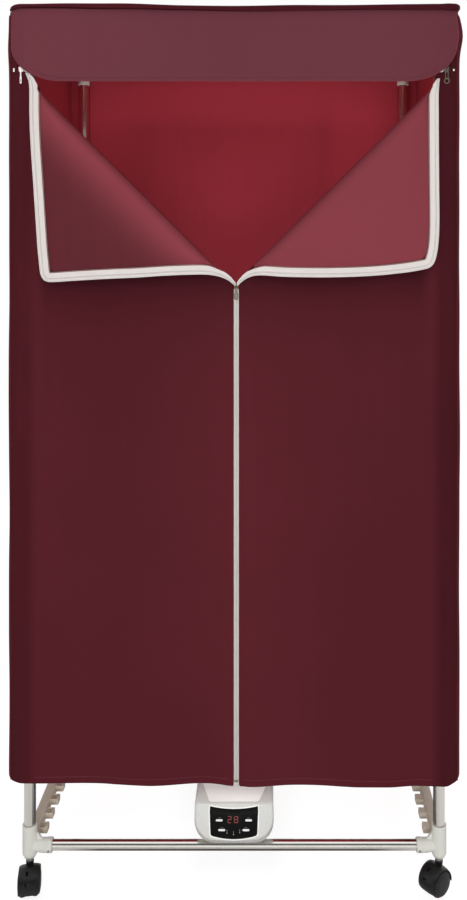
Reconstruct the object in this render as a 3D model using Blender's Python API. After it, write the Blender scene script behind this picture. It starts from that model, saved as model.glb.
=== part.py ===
"""Portable clothes dryer: a castored tube frame inside a zipped fabric cover, with a fan heater
standing on its base rails. Metres, +Z up. The front faces -Y, and the origin is on the floor
under the middle of the object's outer box."""
import math

import bmesh
import bpy
from mathutils import Matrix, Vector

# Fits
CLEAR = 0.0003
OVERRUN = 0.002
ROUND_SIDES = 20
SMALL_SIDES = 12
TUBE_WALL = 0.001

# Frame
POST_SPACING_X = 0.686
POST_SPACING_Y = 0.426
POST_D = 0.0195
RAIL_D = 0.017
BASE_RAIL_Z = 0.0754
COVER_TOP_Z = 1.479

# Corner connectors
SLEEVE_R = 0.0123
SLEEVE_LIP = 0.0008
SLEEVE_LIP_H = 0.0025
SLEEVE_ABOVE_RAIL = 0.0355
SLEEVE_BELOW_RAIL = 0.0189
SLEEVE_TAPER = 0.006
ARM_R = 0.0114
ARM_REACH = 0.038
RAIL_INSERT = 0.024
POST_INSERT = 0.019
SPIGOT_W = 0.007
SPIGOT_H = 0.011
SPIGOT_REACH = 0.018

# Toothed side rails
SIDE_RAIL_W = 0.015
SIDE_RAIL_H = 0.020
SIDE_RAIL_ABOVE = 0.0046
TOOTH_REACH = 0.014
TOOTH_L = 0.016
TOOTH_H = 0.011
TOOTH_PITCH = 0.039
LEDGE_T = 0.003
ROD_D = 0.016
ROD_PLACE_SHARES = (0.25, 0.75)

# Castors
WHEEL_R = 0.022
WHEEL_W = 0.0165
WHEEL_CROWN = 0.0035
CASTOR_WEB = 0.004
CASTOR_SIDE_GAP = 0.0006
AXLE_R = 0.003
HUB_R = 0.008
TRAIL = 0.010
HOOD_WALL = 0.0018
HOOD_GAP = 0.0006
HOOD_EDGE = 0.0009
HOOD_START = 45
HOOD_END = 210
HOOD_STEP = 15
WHEEL_SIDES = 24
NECK_R = 0.0068
COLLAR_R = 0.0060
COLLAR_H = 0.0045
STEM_R = 0.004
STEM_L = 0.017
SWIVEL_TURN = {"front_left": 10.0, "front_right": -50.0, "rear_left": 0.0, "rear_right": 0.0}

# Cover
COVER_SIDE_OFFSET = 0.033
FRONT_OFFSET = 0.0220
BACK_OFFSET = 0.0285
CLOTH_T = 0.002
COVER_CORNER_R = 0.014
TOP_EDGE_R = 0.016
HEM_Z = 0.1933
HEM_WAVE = 0.0025
HINGE_INSET = 0.039
HEADER_GAP = 0.0035
TOP_EDGE_DEPTH_SHARE = 0.35
BEAD_H = 0.006
BEAD_BELOW_TOP = 0.0035
BEAD_ROOT = 0.004
VALANCE_STANDOFF = 0.0045
VALANCE_DROP = 0.119
VALANCE_INSET = 0.008
VALANCE_CORNER_X = 0.086
VALANCE_CORNER_Z = 0.060
BACK_FOLD = 0.006
BACK_FOLDS = 5
SIDE_FOLD = 0.004
DOOR_FOLD = 0.002
DOOR_FOLDS = 3

# Front opening: its diagonal folds run from near the hinge lines down to the middle
FOLD_TOP_INSET = 0.0037
FOLD_TOP_DROP = 0.0012
FOLD_H = 0.330
FLAP_BULGE = 0.0035
FLAP_EDGE_INSET = 0.0012
FLAP_CORNER_INSET = {"left": 0.0208, "right": 0.0043}
FLAP_CORNER_RISE = {"left": 0.0129, "right": 0.0244}
FLAP_CORNER_R = 0.013
FLAP_BOW_SHARE = 0.35
FLAP_SAG_SHARE = 0.6
TAPE_END_W = 0.012

# Zips
ZIP_X = 0.004
ZIP_HALF_W = 0.0037
ZIP_PROUD = 0.0010
SLIDER_W = 0.0082
SLIDER_L = 0.0092
SLIDER_T = 0.0022
PULL_W = 0.0074
PULL_L = 0.0220
PULL_T = 0.0008
PULL_HOLE_W = 0.0030
PULL_HOLE_L = 0.0050
TOP_ZIP_RISE = 0.0254
TOP_SLIDER_INSET = 0.0245

# Heater
DRUM_R = 0.100
DRUM_Y_SHARE = 0.665
DRUM_DROP = 0.016
DRUM_H = 0.132
HEATER_WALL = 0.003
CONSOLE_HALF_W = 0.0655
CONSOLE_REACH = 0.0255
CHIN_RISE = 0.0133
CHIN_BACK = 0.0165
FACE_H = 0.0575
FACE_TILT = 8.0
DECK_RISE = 0.030
CONSOLE_LOW_R = 0.034
CONSOLE_HIGH_R = 0.004
FRONT_WALL = 0.007
TONGUE_HALF_W = 0.026
TONGUE_H = 0.038
TONGUE_OVERLAP = 0.007
GRILLE_R = 0.070
GRILLE_FLANGE = 0.006
GRILLE_T = 0.003
GRILLE_SLOT = 0.006
GRILLE_BAR = 0.004
INTAKE_R = 0.075

# Control panel
PANEL_TOP_W = 0.0800
PANEL_BOTTOM_W = 0.0775
PANEL_H = 0.0460
PANEL_T = 0.0032
PANEL_PROUD = 0.0004
PANEL_BOW = 0.0045
PANEL_CORNER = 0.0045
PANEL_MARGIN = 0.0035
BUTTON_W = 0.0116
BUTTON_H = 0.0034
BUTTON_T = 0.0026
BUTTON_PROUD = 0.0006
UPPER_BUTTON_X = 0.0243
LOWER_BUTTON_X = 0.0200
UPPER_BUTTON_RISE = 0.0015
LOWER_BUTTON_RISE = -0.0135

# Inside the heater
MOTOR_R = 0.028
MOTOR_H = 0.034
SHAFT_R = 0.003
SHAFT_L = 0.026
FAN_R = 0.070
FAN_HUB_R = 0.016
FAN_H = 0.018
FAN_BLADES = 9
BLADE_T = 0.003
ELEMENT_H = 0.012
ELEMENT_BELOW_ROOF = 0.030
ELEMENT_RIM = 0.008
ELEMENT_SLOT = 0.007
ELEMENT_BAR = 0.007
BOARD_W = 0.056
BOARD_L = 0.050
BOARD_T = 0.0016
INLET_W = 0.027
INLET_H = 0.019
INLET_L = 0.022
INLET_FLANGE = 0.004
INLET_FLANGE_T = 0.0025
SOCKET_W = 0.021
SOCKET_H = 0.013
SOCKET_DEPTH = 0.014

SIDES = {"left": -1, "right": 1}
ENDS = {"front": -1, "rear": 1}


def castor_front_reach():
    """How far the turned front castors reach in front of their posts."""
    half_width = CASTOR_WEB / 2 + CASTOR_SIDE_GAP + WHEEL_W
    length = TRAIL + WHEEL_R + HOOD_GAP + HOOD_WALL
    reaches = []
    for side_name in SIDES:
        turn = math.radians(abs(SWIVEL_TURN["front_" + side_name]))
        reaches.append(length * math.cos(turn) + (half_width - HOOD_EDGE) * math.sin(turn))
        reaches.append((length - HOOD_EDGE) * math.cos(turn) + half_width * math.sin(turn))
    return max(reaches)


# Stations worked out from the sizes above
FRAME_Y = (castor_front_reach() - BACK_OFFSET) / 2
POST_X = POST_SPACING_X / 2
FRONT_POST_Y = FRAME_Y - POST_SPACING_Y / 2
REAR_POST_Y = FRAME_Y + POST_SPACING_Y / 2
FRONT_Y = FRONT_POST_Y - FRONT_OFFSET
BACK_Y = REAR_POST_Y + BACK_OFFSET
VALANCE_Y = FRONT_Y - VALANCE_STANDOFF
SLEEVE_BOTTOM_Z = BASE_RAIL_Z - SLEEVE_BELOW_RAIL
SLEEVE_TOP_Z = COVER_TOP_Z - CLOTH_T - CLEAR
TOP_RAIL_Z = SLEEVE_TOP_Z - SLEEVE_BELOW_RAIL
POST_LOW_Z = BASE_RAIL_Z + SLEEVE_ABOVE_RAIL - POST_INSERT
POST_HIGH_Z = TOP_RAIL_Z - SLEEVE_ABOVE_RAIL + POST_INSERT
VALANCE_TOP_Z = COVER_TOP_Z - BEAD_BELOW_TOP - BEAD_H - CLEAR
VALANCE_LOW_Z = VALANCE_TOP_Z - VALANCE_DROP
SKIRT_Z = VALANCE_LOW_Z - HEADER_GAP
COVER_HALF_W = POST_X + COVER_SIDE_OFFSET
VALANCE_HALF_W = COVER_HALF_W - VALANCE_INSET
HINGE_X = COVER_HALF_W - HINGE_INSET
FOLD_TOP_X = HINGE_X - FOLD_TOP_INSET
FOLD_TOP_Z = SKIRT_Z - FOLD_TOP_DROP
APEX_Z = FOLD_TOP_Z - FOLD_H
TOP_ZIP_Z = SKIRT_Z + TOP_ZIP_RISE
TOP_SLIDER_X = COVER_HALF_W - TOP_SLIDER_INSET
RAIL_TOP_Z = BASE_RAIL_Z + RAIL_D / 2 + CLEAR
DRUM_Y = FRAME_Y + (DRUM_Y_SHARE - 0.5) * POST_SPACING_Y
PAN_LOW_Z = RAIL_TOP_Z - DRUM_DROP
ROOF_Z = RAIL_TOP_Z + DRUM_H
CONSOLE_Y = FRONT_POST_Y - CONSOLE_REACH
FACE_LOW_Z = RAIL_TOP_Z + CHIN_RISE
FACE_HIGH_Z = FACE_LOW_Z + FACE_H
TILT = math.radians(FACE_TILT)
CASTOR_HALF_W = CASTOR_WEB / 2 + CASTOR_SIDE_GAP + WHEEL_W

MATERIALS = {
    "connector_plastic": ((0.58, 0.58, 0.53), 0.45, 0.0),
    "steel_tube": ((0.62, 0.60, 0.57), 0.18, 1.0),
    "rail_plastic": ((0.36, 0.30, 0.25), 0.55, 0.0),
    "castor_plastic": ((0.017, 0.017, 0.017), 0.38, 0.0),
    "cover_cloth": ((0.092, 0.016, 0.024), 0.55, 0.0),
    "valance_cloth": ((0.155, 0.048, 0.060), 0.50, 0.0),
    "flap_cloth": ((0.230, 0.052, 0.066), 0.48, 0.0),
    "lining_cloth": ((0.200, 0.014, 0.026), 0.60, 0.0),
    "zip_coil": ((0.70, 0.66, 0.63), 0.50, 0.0),
    "zip_metal": ((0.50, 0.47, 0.43), 0.30, 1.0),
    "heater_plastic": ((0.75, 0.76, 0.72), 0.35, 0.0),
    "panel_gloss": ((0.008, 0.008, 0.008), 0.08, 0.0),
    "button_plastic": ((0.70, 0.70, 0.68), 0.40, 0.0),
    "dark_plastic": ((0.03, 0.03, 0.03), 0.50, 0.0),
    "motor_steel": ((0.45, 0.45, 0.46), 0.35, 1.0),
    "element_metal": ((0.55, 0.52, 0.48), 0.40, 1.0),
    "board_green": ((0.02, 0.16, 0.06), 0.45, 0.0),
}


def clear_scene():
    for item in list(bpy.data.objects):
        bpy.data.objects.remove(item)


def finish_material(name):
    """The named Principled material, made the first time it is asked for."""
    found = bpy.data.materials.get(name)
    if found:
        return found
    colour, roughness, metallic = MATERIALS[name]
    made = bpy.data.materials.new(name)
    made.use_nodes = True
    shader = made.node_tree.nodes["Principled BSDF"]
    shader.inputs["Base Color"].default_value = (*colour, 1.0)
    shader.inputs["Roughness"].default_value = roughness
    shader.inputs["Metallic"].default_value = metallic
    made.diffuse_color = (*colour, 1.0)
    return made


def make_object(name, bm, material, parent=None, at=(0, 0, 0), smooth=True):
    """One named object from a bmesh, its faces turned outwards."""
    bmesh.ops.recalc_face_normals(bm, faces=bm.faces)
    mesh = bpy.data.meshes.new(name)
    bm.to_mesh(mesh)
    bm.free()
    if smooth:
        mesh.shade_smooth()
        mesh.set_sharp_from_angle(angle=math.radians(35))
    mesh.materials.append(finish_material(material))
    made = bpy.data.objects.new(name, mesh)
    made.location = at
    made.parent = parent
    bpy.context.collection.objects.link(made)
    return made


def make_empty(name, at, turn=(0, 0, 0), parent=None):
    made = bpy.data.objects.new(name, None)
    made.location = at
    made.rotation_euler = turn
    made.parent = parent
    bpy.context.collection.objects.link(made)
    return made


def make_cutter(name, bm, parent=None, at=(0, 0, 0)):
    cutter = make_object(name, bm, "dark_plastic", parent, at, smooth=False)
    cutter.hide_render = True
    cutter.display_type = "WIRE"
    return cutter


def combine(target, other, operation):
    change = target.modifiers.new(other.name, "BOOLEAN")
    change.operation = operation
    change.solver = "EXACT"
    change.object = other


def add_box(bm, low, high):
    """A box between two corners, whichever way round each size is given."""
    corners = [Vector((x, y, z)) for x in (low[0], high[0]) for y in (low[1], high[1])
               for z in (low[2], high[2])]
    verts = [bm.verts.new(corner) for corner in corners]
    for face in ((0, 1, 3, 2), (4, 6, 7, 5), (0, 4, 5, 1), (2, 3, 7, 6), (0, 2, 6, 4), (1, 5, 7, 3)):
        bm.faces.new([verts[i] for i in face])


def box_mesh(low, high):
    bm = bmesh.new()
    add_box(bm, low, high)
    return bm


def add_lathe(bm, profile, centre, axis, sides=ROUND_SIDES, turn=0.0):
    """Turns (radius, along) points about an axis through centre: a solid where the profile
    starts and ends on the axis, and a ring where it closes on itself."""
    along = Vector(axis).normalized()
    across = along.orthogonal().normalized()
    if abs(along.z) > 0.9:
        across = Vector((1, 0, 0))
    other = along.cross(across)
    rings = []
    flat_start = profile[0][0] == 0 and profile[0][1] == profile[1][1]
    flat_end = profile[-1][0] == 0 and profile[-1][1] == profile[-2][1]
    turned = profile[int(flat_start):len(profile) - int(flat_end)]
    for radius, step in turned:
        place = Vector(centre) + along * step
        if radius == 0:
            rings.append([bm.verts.new(place)])
            continue
        ring = []
        for i in range(sides):
            angle = 2 * math.pi * i / sides + turn
            ring.append(bm.verts.new(place + radius * (across * math.cos(angle) + other * math.sin(angle))))
        rings.append(ring)
    pairs = list(zip(rings, rings[1:]))
    if profile[0][0] != 0:
        pairs.append((rings[-1], rings[0]))
    if flat_start:
        bm.faces.new(rings[0])
    if flat_end:
        bm.faces.new(rings[-1])
    for first, second in pairs:
        for i in range(sides):
            j = (i + 1) % sides
            corners = [first[i % len(first)], first[j % len(first)],
                       second[j % len(second)], second[i % len(second)]]
            unique = list(dict.fromkeys(corners))
            if len(unique) > 2:
                bm.faces.new(unique)


def lathe_mesh(profile, centre=(0, 0, 0), axis=(0, 0, 1), sides=ROUND_SIDES, turn=0.0):
    bm = bmesh.new()
    add_lathe(bm, profile, centre, axis, sides, turn)
    return bm


def add_loft(bm, rings):
    """Skins a row of equal closed rings of points and fills both ends."""
    rows = [[bm.verts.new(point) for point in ring] for ring in rings]
    count = len(rows[0])
    for first, second in zip(rows, rows[1:]):
        for i in range(count):
            j = (i + 1) % count
            bm.faces.new((first[i], first[j], second[j], second[i]))
    bm.faces.new(rows[0])
    bm.faces.new(list(reversed(rows[-1])))


def loft_mesh(rings):
    bm = bmesh.new()
    add_loft(bm, rings)
    return bm


def arc(centre, radius, start, end, steps):
    """Points on an arc, angles in degrees."""
    points = []
    for i in range(steps + 1):
        angle = math.radians(start + (end - start) * i / steps)
        points.append((centre[0] + radius * math.cos(angle), centre[1] + radius * math.sin(angle)))
    return points


def rounded_rectangle(half_w, low, high, low_r, high_r, steps=3):
    """A rounded outline with its own radius at the two low and the two high corners."""
    points = arc((half_w - low_r, low + low_r), low_r, -90, 0, steps)
    points += arc((half_w - high_r, high - high_r), high_r, 0, 90, steps)
    points += arc((high_r - half_w, high - high_r), high_r, 90, 180, steps)
    points += arc((low_r - half_w, low + low_r), low_r, 180, 270, steps)
    return points


def tube(name, start, end, outer_d, material):
    """A round tube with an open bore between two points."""
    start, end = Vector(start), Vector(end)
    length = (end - start).length
    outer, inner = outer_d / 2, outer_d / 2 - TUBE_WALL
    profile = [(outer, 0), (outer, length), (inner, length), (inner, 0)]
    bm = lathe_mesh(profile, start, end - start)
    return make_object(name, bm, material)


def cloth_sheet(name, middle, normal, columns, rows, material):
    """A closed sheet of cloth: middle(u, v) gives its mid surface and normal(u, v) the way
    that its thickness goes, both for shares u and v from 0 to 1."""
    bm = bmesh.new()
    layers = []
    for side in (-1, 1):
        grid = []
        for i in range(columns + 1):
            line = []
            for j in range(rows + 1):
                u, v = i / columns, j / rows
                offset = Vector(normal(u, v)).normalized() * (side * CLOTH_T / 2)
                line.append(bm.verts.new(Vector(middle(u, v)) + offset))
            grid.append(line)
        layers.append(grid)
    for grid in layers:
        for i in range(columns):
            for j in range(rows):
                bm.faces.new((grid[i][j], grid[i + 1][j], grid[i + 1][j + 1], grid[i][j + 1]))
    rim = [(i, 0) for i in range(columns)] + [(columns, j) for j in range(rows)]
    rim += [(i, rows) for i in range(columns, 0, -1)] + [(0, j) for j in range(rows, 0, -1)]
    for k, (i, j) in enumerate(rim):
        m, n = rim[(k + 1) % len(rim)]
        bm.faces.new((layers[0][i][j], layers[0][m][n], layers[1][m][n], layers[1][i][j]))
    return make_object(name, bm, material)


def corner_connector(name, side, end, base):
    """A corner of the base or of the top: an upright sleeve for the post, a level sleeve for
    the cross rail and a tongue for the toothed side rail."""
    rail_z = BASE_RAIL_Z if base else TOP_RAIL_Z
    up = 1 if base else -1
    post_y = FRONT_POST_Y if end < 0 else REAR_POST_Y
    centre = Vector((side * POST_X, post_y, rail_z))
    low, high = -SLEEVE_BELOW_RAIL, SLEEVE_ABOVE_RAIL
    post_bore = POST_D / 2 + CLEAR
    floor = high - POST_INSERT - CLEAR
    sleeve = [(SLEEVE_R - SLEEVE_TAPER / 2, low), (SLEEVE_R, low + SLEEVE_TAPER),
              (SLEEVE_R, high - SLEEVE_LIP_H), (SLEEVE_R + SLEEVE_LIP, high), (post_bore, high),
              (post_bore, floor), (0, floor)]
    if base:
        stem_bore = STEM_R + CLEAR
        sleeve = [(0, low + STEM_L + CLEAR), (stem_bore, low + STEM_L + CLEAR), (stem_bore, low)] + sleeve
    else:
        sleeve = [(0, low)] + sleeve
    body = make_object(name, lathe_mesh(sleeve, centre, (0, 0, up)), "connector_plastic")

    root = STEM_R + OVERRUN
    rail_bore = RAIL_D / 2 + CLEAR
    stop = ARM_REACH - RAIL_INSERT - CLEAR
    arm = [(0, root), (ARM_R, root), (ARM_R, ARM_REACH), (rail_bore, ARM_REACH), (rail_bore, stop), (0, stop)]
    arm_body = make_cutter(name + "_arm", lathe_mesh(arm, centre, (-side, 0, 0)))
    combine(body, arm_body, "UNION")

    reach = SLEEVE_R + SPIGOT_REACH
    tongue_low = centre + Vector((-SPIGOT_W / 2, -end * root, up * SIDE_RAIL_ABOVE - SPIGOT_H / 2))
    tongue_high = centre + Vector((SPIGOT_W / 2, -end * reach, up * SIDE_RAIL_ABOVE + SPIGOT_H / 2))
    tongue = make_cutter(name + "_tongue", box_mesh(tongue_low, tongue_high))
    combine(body, tongue, "UNION")
    return body


def side_rail(name, side, base):
    """A toothed side rail: a bar with blocks along its inner side and a socket in each end.
    The top pair has a ledge under the blocks, which carries the hanging rods."""
    rail_z = (BASE_RAIL_Z + SIDE_RAIL_ABOVE) if base else (TOP_RAIL_Z - SIDE_RAIL_ABOVE)
    start, stop = rail_span()
    x = side * POST_X
    half_w, half_h = SIDE_RAIL_W / 2, SIDE_RAIL_H / 2
    bar = box_mesh((x - half_w, start, rail_z - half_h), (x + half_w, stop, rail_z + half_h))
    body = make_object(name, bar, "rail_plastic", smooth=False)
    inner_x = x - side * half_w
    comb = bmesh.new()
    outline = [(x, start + TUBE_WALL), (inner_x, start + TUBE_WALL)]
    for low in tooth_starts():
        outline += [(inner_x, low), (inner_x - side * TOOTH_REACH, low),
                    (inner_x - side * TOOTH_REACH, low + TOOTH_L), (inner_x, low + TOOTH_L)]
    outline += [(inner_x, stop - TUBE_WALL), (x, stop - TUBE_WALL)]
    levels = (rail_z - TOOTH_H / 2, rail_z + TOOTH_H / 2)
    rings = [[(px, py, z) for px, py in outline] for z in levels]
    add_loft(comb, rings)
    combine(body, make_cutter(name + "_comb", comb), "UNION")
    if not base:
        ledge_high = rail_z - TOOTH_H / 2 + TUBE_WALL
        ledge = box_mesh((x, start + TUBE_WALL, ledge_high - LEDGE_T),
                         (inner_x - side * TOOTH_REACH, stop - TUBE_WALL, ledge_high))
        combine(body, make_cutter(name + "_ledge", ledge), "UNION")
    depth = SLEEVE_R + SPIGOT_REACH + CLEAR
    pocket_w, pocket_h = SPIGOT_W / 2 + CLEAR, SPIGOT_H / 2 + CLEAR
    for label, face, far in (("front", start - OVERRUN, FRONT_POST_Y + depth),
                             ("rear", stop + OVERRUN, REAR_POST_Y - depth)):
        pocket = box_mesh((x - pocket_w, face, rail_z - pocket_h), (x + pocket_w, far, rail_z + pocket_h))
        combine(body, make_cutter(name + "_socket_" + label, pocket), "DIFFERENCE")
    return body


def rail_span():
    """Where the side rails begin and end, a fit away from the corner connectors."""
    inset = SLEEVE_R + SLEEVE_LIP + CLEAR
    return FRONT_POST_Y + inset, REAR_POST_Y - inset


def tooth_starts():
    """Where each tooth of a side rail begins, the row centred on the rail."""
    start, stop = rail_span()
    count = int((stop - start - TOOTH_L) // TOOTH_PITCH) + 1
    used = (count - 1) * TOOTH_PITCH + TOOTH_L
    first = start + (stop - start - used) / 2
    return [first + i * TOOTH_PITCH for i in range(count)]


def hanging_rod(name, share):
    """A rod across the top, lying on the ledges between two teeth."""
    starts = tooth_starts()
    y = starts[round(share * (len(starts) - 2))] + (TOOTH_L + TOOTH_PITCH) / 2
    ledge_high = TOP_RAIL_Z - SIDE_RAIL_ABOVE - TOOTH_H / 2 + TUBE_WALL
    z = ledge_high + ROD_D / 2 + CLEAR
    half = POST_X - SIDE_RAIL_W / 2 - CLEAR
    return tube(name, (-half, y, z), (half, y, z), ROD_D, "steel_tube")


def build_frame():
    for side_name, side in SIDES.items():
        for end_name, end in ENDS.items():
            where = end_name + "_" + side_name
            corner_connector("base_connector_" + where, side, end, base=True)
            corner_connector("top_connector_" + where, side, end, base=False)
            post_y = FRONT_POST_Y if end < 0 else REAR_POST_Y
            tube("post_" + where, (side * POST_X, post_y, POST_LOW_Z), (side * POST_X, post_y, POST_HIGH_Z),
                 POST_D, "steel_tube")
        side_rail("base_side_rail_" + side_name, side, base=True)
        side_rail("top_side_rail_" + side_name, side, base=False)
    half = POST_X - ARM_REACH + RAIL_INSERT
    for end_name, post_y in (("front", FRONT_POST_Y), ("rear", REAR_POST_Y)):
        for level, z in (("base", BASE_RAIL_Z), ("top", TOP_RAIL_Z)):
            tube(level + "_rail_" + end_name, (-half, post_y, z), (half, post_y, z), RAIL_D, "steel_tube")
    for label, share in zip(ENDS, ROD_PLACE_SHARES):
        hanging_rod("hanging_rod_" + label, share)


def hood_arc(radius, start, end):
    """Points of the hood's side view about the axle, as (y, z) in the castor's own axes."""
    steps = round((end - start) / HOOD_STEP)
    return arc((-TRAIL, wheel_height()), radius, start, end, steps)


def castor_housing(name, swivel):
    """The hood over both wheels, the web between them, the neck, the collar and the stem. Its
    own -Y side is the closed one, and the wheels trail that way."""
    inner_r = WHEEL_R + HOOD_GAP
    rings = []
    for x, drop in ((-CASTOR_HALF_W, HOOD_EDGE), (HOOD_EDGE - CASTOR_HALF_W, 0),
                    (CASTOR_HALF_W - HOOD_EDGE, 0), (CASTOR_HALF_W, HOOD_EDGE)):
        outline = hood_arc(inner_r + HOOD_WALL - drop, HOOD_START, HOOD_END)
        outline += hood_arc(inner_r, HOOD_START, HOOD_END)[::-1]
        rings.append([(x, y, z) for y, z in outline])
    body = make_object(name, loft_mesh(rings), "castor_plastic", swivel)

    wheel_z = wheel_height()
    neck_low = wheel_z + WHEEL_R + CLEAR
    outline = [(NECK_R / 2, neck_low + OVERRUN)]
    outline += hood_arc(inner_r + HOOD_WALL / 2, 90 - HOOD_STEP, HOOD_END - HOOD_STEP)
    outline += hood_arc(HUB_R, HOOD_END, 360)
    web = loft_mesh([[(x, y, z) for y, z in outline] for x in (-CASTOR_WEB / 2, CASTOR_WEB / 2)])
    combine(body, make_cutter(name + "_web", web, swivel), "UNION")

    collar_low = SLEEVE_BOTTOM_Z - CLEAR - COLLAR_H
    stem = [(0, neck_low), (NECK_R, neck_low), (NECK_R, collar_low), (COLLAR_R, collar_low),
            (COLLAR_R, collar_low + COLLAR_H), (STEM_R, collar_low + COLLAR_H),
            (STEM_R, SLEEVE_BOTTOM_Z + STEM_L - CLEAR), (0, SLEEVE_BOTTOM_Z + STEM_L - CLEAR)]
    combine(body, make_cutter(name + "_stem", lathe_mesh(stem), swivel), "UNION")
    bore_r = AXLE_R + CLEAR
    bore = lathe_mesh([(0, -CASTOR_WEB), (bore_r, -CASTOR_WEB), (bore_r, CASTOR_WEB), (0, CASTOR_WEB)],
                      (0, -TRAIL, wheel_z), (1, 0, 0), SMALL_SIDES)
    combine(body, make_cutter(name + "_bore", bore, swivel), "DIFFERENCE")
    return body


def wheel_height():
    """Height of the axle: the wheel's flat facet lies on the floor."""
    return WHEEL_R * math.cos(math.pi / WHEEL_SIDES)


def castor_wheels(name, swivel):
    """The two domed wheels and the axle that joins them."""
    inner = CASTOR_WEB / 2 + CASTOR_SIDE_GAP
    outer = inner + WHEEL_W
    rim_r = WHEEL_R - WHEEL_CROWN
    profile = [(0, -outer), (rim_r, -outer + WHEEL_CROWN / 2), (WHEEL_R, -outer + WHEEL_CROWN),
               (WHEEL_R, -inner), (AXLE_R, -inner), (AXLE_R, inner), (WHEEL_R, inner),
               (WHEEL_R, outer - WHEEL_CROWN), (rim_r, outer - WHEEL_CROWN / 2), (0, outer)]
    bm = lathe_mesh(profile, (0, 0, 0), (1, 0, 0), WHEEL_SIDES, turn=math.pi / WHEEL_SIDES)
    return make_object(name, bm, "castor_plastic", swivel, (0, -TRAIL, wheel_height()))


def build_castors():
    for side_name, side in SIDES.items():
        for end_name in ENDS:
            where = end_name + "_" + side_name
            post_y = FRONT_POST_Y if end_name == "front" else REAR_POST_Y
            turn = math.radians(SWIVEL_TURN[where])
            swivel = make_empty("castor_swivel_" + where, (side * POST_X, post_y, 0), (0, 0, turn))
            castor_housing("castor_housing_" + where, swivel)
            castor_wheels("castor_wheels_" + where, swivel)


def cover_ring(z, inset, roll=0.0):
    """The cover's rounded outline at one height, drawn in by its wall and by the roll of the top
    edge, which is shallower at the front and back than at the sides."""
    radius = max(COVER_CORNER_R - inset - roll / 2, CLOTH_T)
    half_d = (BACK_Y - FRONT_Y) / 2 - inset - roll * TOP_EDGE_DEPTH_SHARE
    middle_y = (BACK_Y + FRONT_Y) / 2
    outline = rounded_rectangle(COVER_HALF_W - inset - roll, -half_d, half_d, radius, radius)
    return [(x, middle_y + y, z) for x, y in outline]


def cover_top():
    """The cap of the cover: its roof, its rolled top edge, the deep band behind the valance and
    the piped bead that the valance hangs from."""
    steps = 3
    outer = [cover_ring(SKIRT_Z, 0)]
    inner = [cover_ring(SKIRT_Z - OVERRUN, CLOTH_T)]
    for i in range(steps + 1):
        angle = math.pi / 2 * i / steps
        drop, draw = 1 - math.sin(angle), 1 - math.cos(angle)
        inner_r = TOP_EDGE_R - CLOTH_T
        outer.append(cover_ring(COVER_TOP_Z - TOP_EDGE_R * drop, 0, TOP_EDGE_R * draw))
        inner.append(cover_ring(COVER_TOP_Z - CLOTH_T - inner_r * drop, CLOTH_T, inner_r * draw))
    body = make_object("cover_top", loft_mesh(outer), "valance_cloth")
    combine(body, make_cutter("cover_top_inside", loft_mesh(inner)), "DIFFERENCE")
    half = VALANCE_HALF_W - COVER_CORNER_R
    low, high = VALANCE_TOP_Z + CLEAR, VALANCE_TOP_Z + CLEAR + BEAD_H
    front, root = VALANCE_Y - CLOTH_T, FRONT_Y + BEAD_ROOT
    outline = rounded_rectangle((root - front) / 2, low, high, BEAD_H / 3, BEAD_H / 3, 2)
    bead = loft_mesh([[(x, y + (front + root) / 2, z) for y, z in outline] for x in (-half, half)])
    combine(body, make_cutter("cover_top_bead", bead), "UNION")
    return body


def hem_z(x):
    """The hem rises and falls a little along its length."""
    return HEM_Z + HEM_WAVE * math.sin(x / COVER_HALF_W * 2 * math.pi)


def side_path(side):
    """Plan of one side of the cover, from its front margin round both corners to its back margin."""
    inset = CLOTH_T / 2
    radius = COVER_CORNER_R - inset
    x, front, back = COVER_HALF_W - inset, FRONT_Y + inset, BACK_Y - inset
    path = [(HINGE_X + CLEAR, front)]
    path += arc((x - radius, front + radius), radius, -90, 0, 3)
    count = 8
    for i in range(1, count):
        share = i / count
        wave = SIDE_FOLD * math.sin(share * 3 * math.pi) * math.sin(share * math.pi)
        path.append((x + min(wave, 0), front + radius + (back - front - 2 * radius) * share))
    path += arc((x - radius, back - radius), radius, 0, 90, 3)
    path.append((HINGE_X + CLEAR, back))
    return [(side * px, py) for px, py in path]


def path_normals(path):
    normals = []
    for i in range(len(path)):
        before = Vector(path[max(i - 1, 0)])
        after = Vector(path[min(i + 1, len(path) - 1)])
        step = (after - before).normalized()
        normals.append((step.y, -step.x, 0))
    return normals


def cover_side(name, side):
    """One side of the cover with the margins that turn on to the front and the back."""
    path = side_path(side)
    normals = path_normals(path)
    last = len(path) - 1
    top = SKIRT_Z - CLEAR

    def middle(u, v):
        x, y = path[round(u * last)]
        low = hem_z(x)
        return x, y, low + (top - low) * v

    return cloth_sheet(name, middle, lambda u, v: normals[round(u * last)], last, 4, "cover_cloth")


def cover_back():
    """The back of the cover, which hangs in shallow upright folds."""
    half = HINGE_X - CLEAR
    top = SKIRT_Z - CLEAR

    def middle(u, v):
        x = half * (2 * u - 1)
        low = hem_z(x)
        depth = BACK_FOLD * math.sin(math.pi * u) * math.cos(math.pi * BACK_FOLDS * u) ** 2 * (1 - v / 2)
        return x, BACK_Y - CLOTH_T / 2 - depth, low + (top - low) * v

    return cloth_sheet("cover_back", middle, lambda u, v: (0, 1, 0), 30, 6, "lining_cloth")


def valance_hem_z(x):
    """Lower edge of the valance, with its rounded ends."""
    start = VALANCE_HALF_W - VALANCE_CORNER_X
    past = max(abs(x) - start, 0) / VALANCE_CORNER_X
    return VALANCE_LOW_Z + VALANCE_CORNER_Z * (1 - math.sqrt(max(1 - past * past, 0)))


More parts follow.
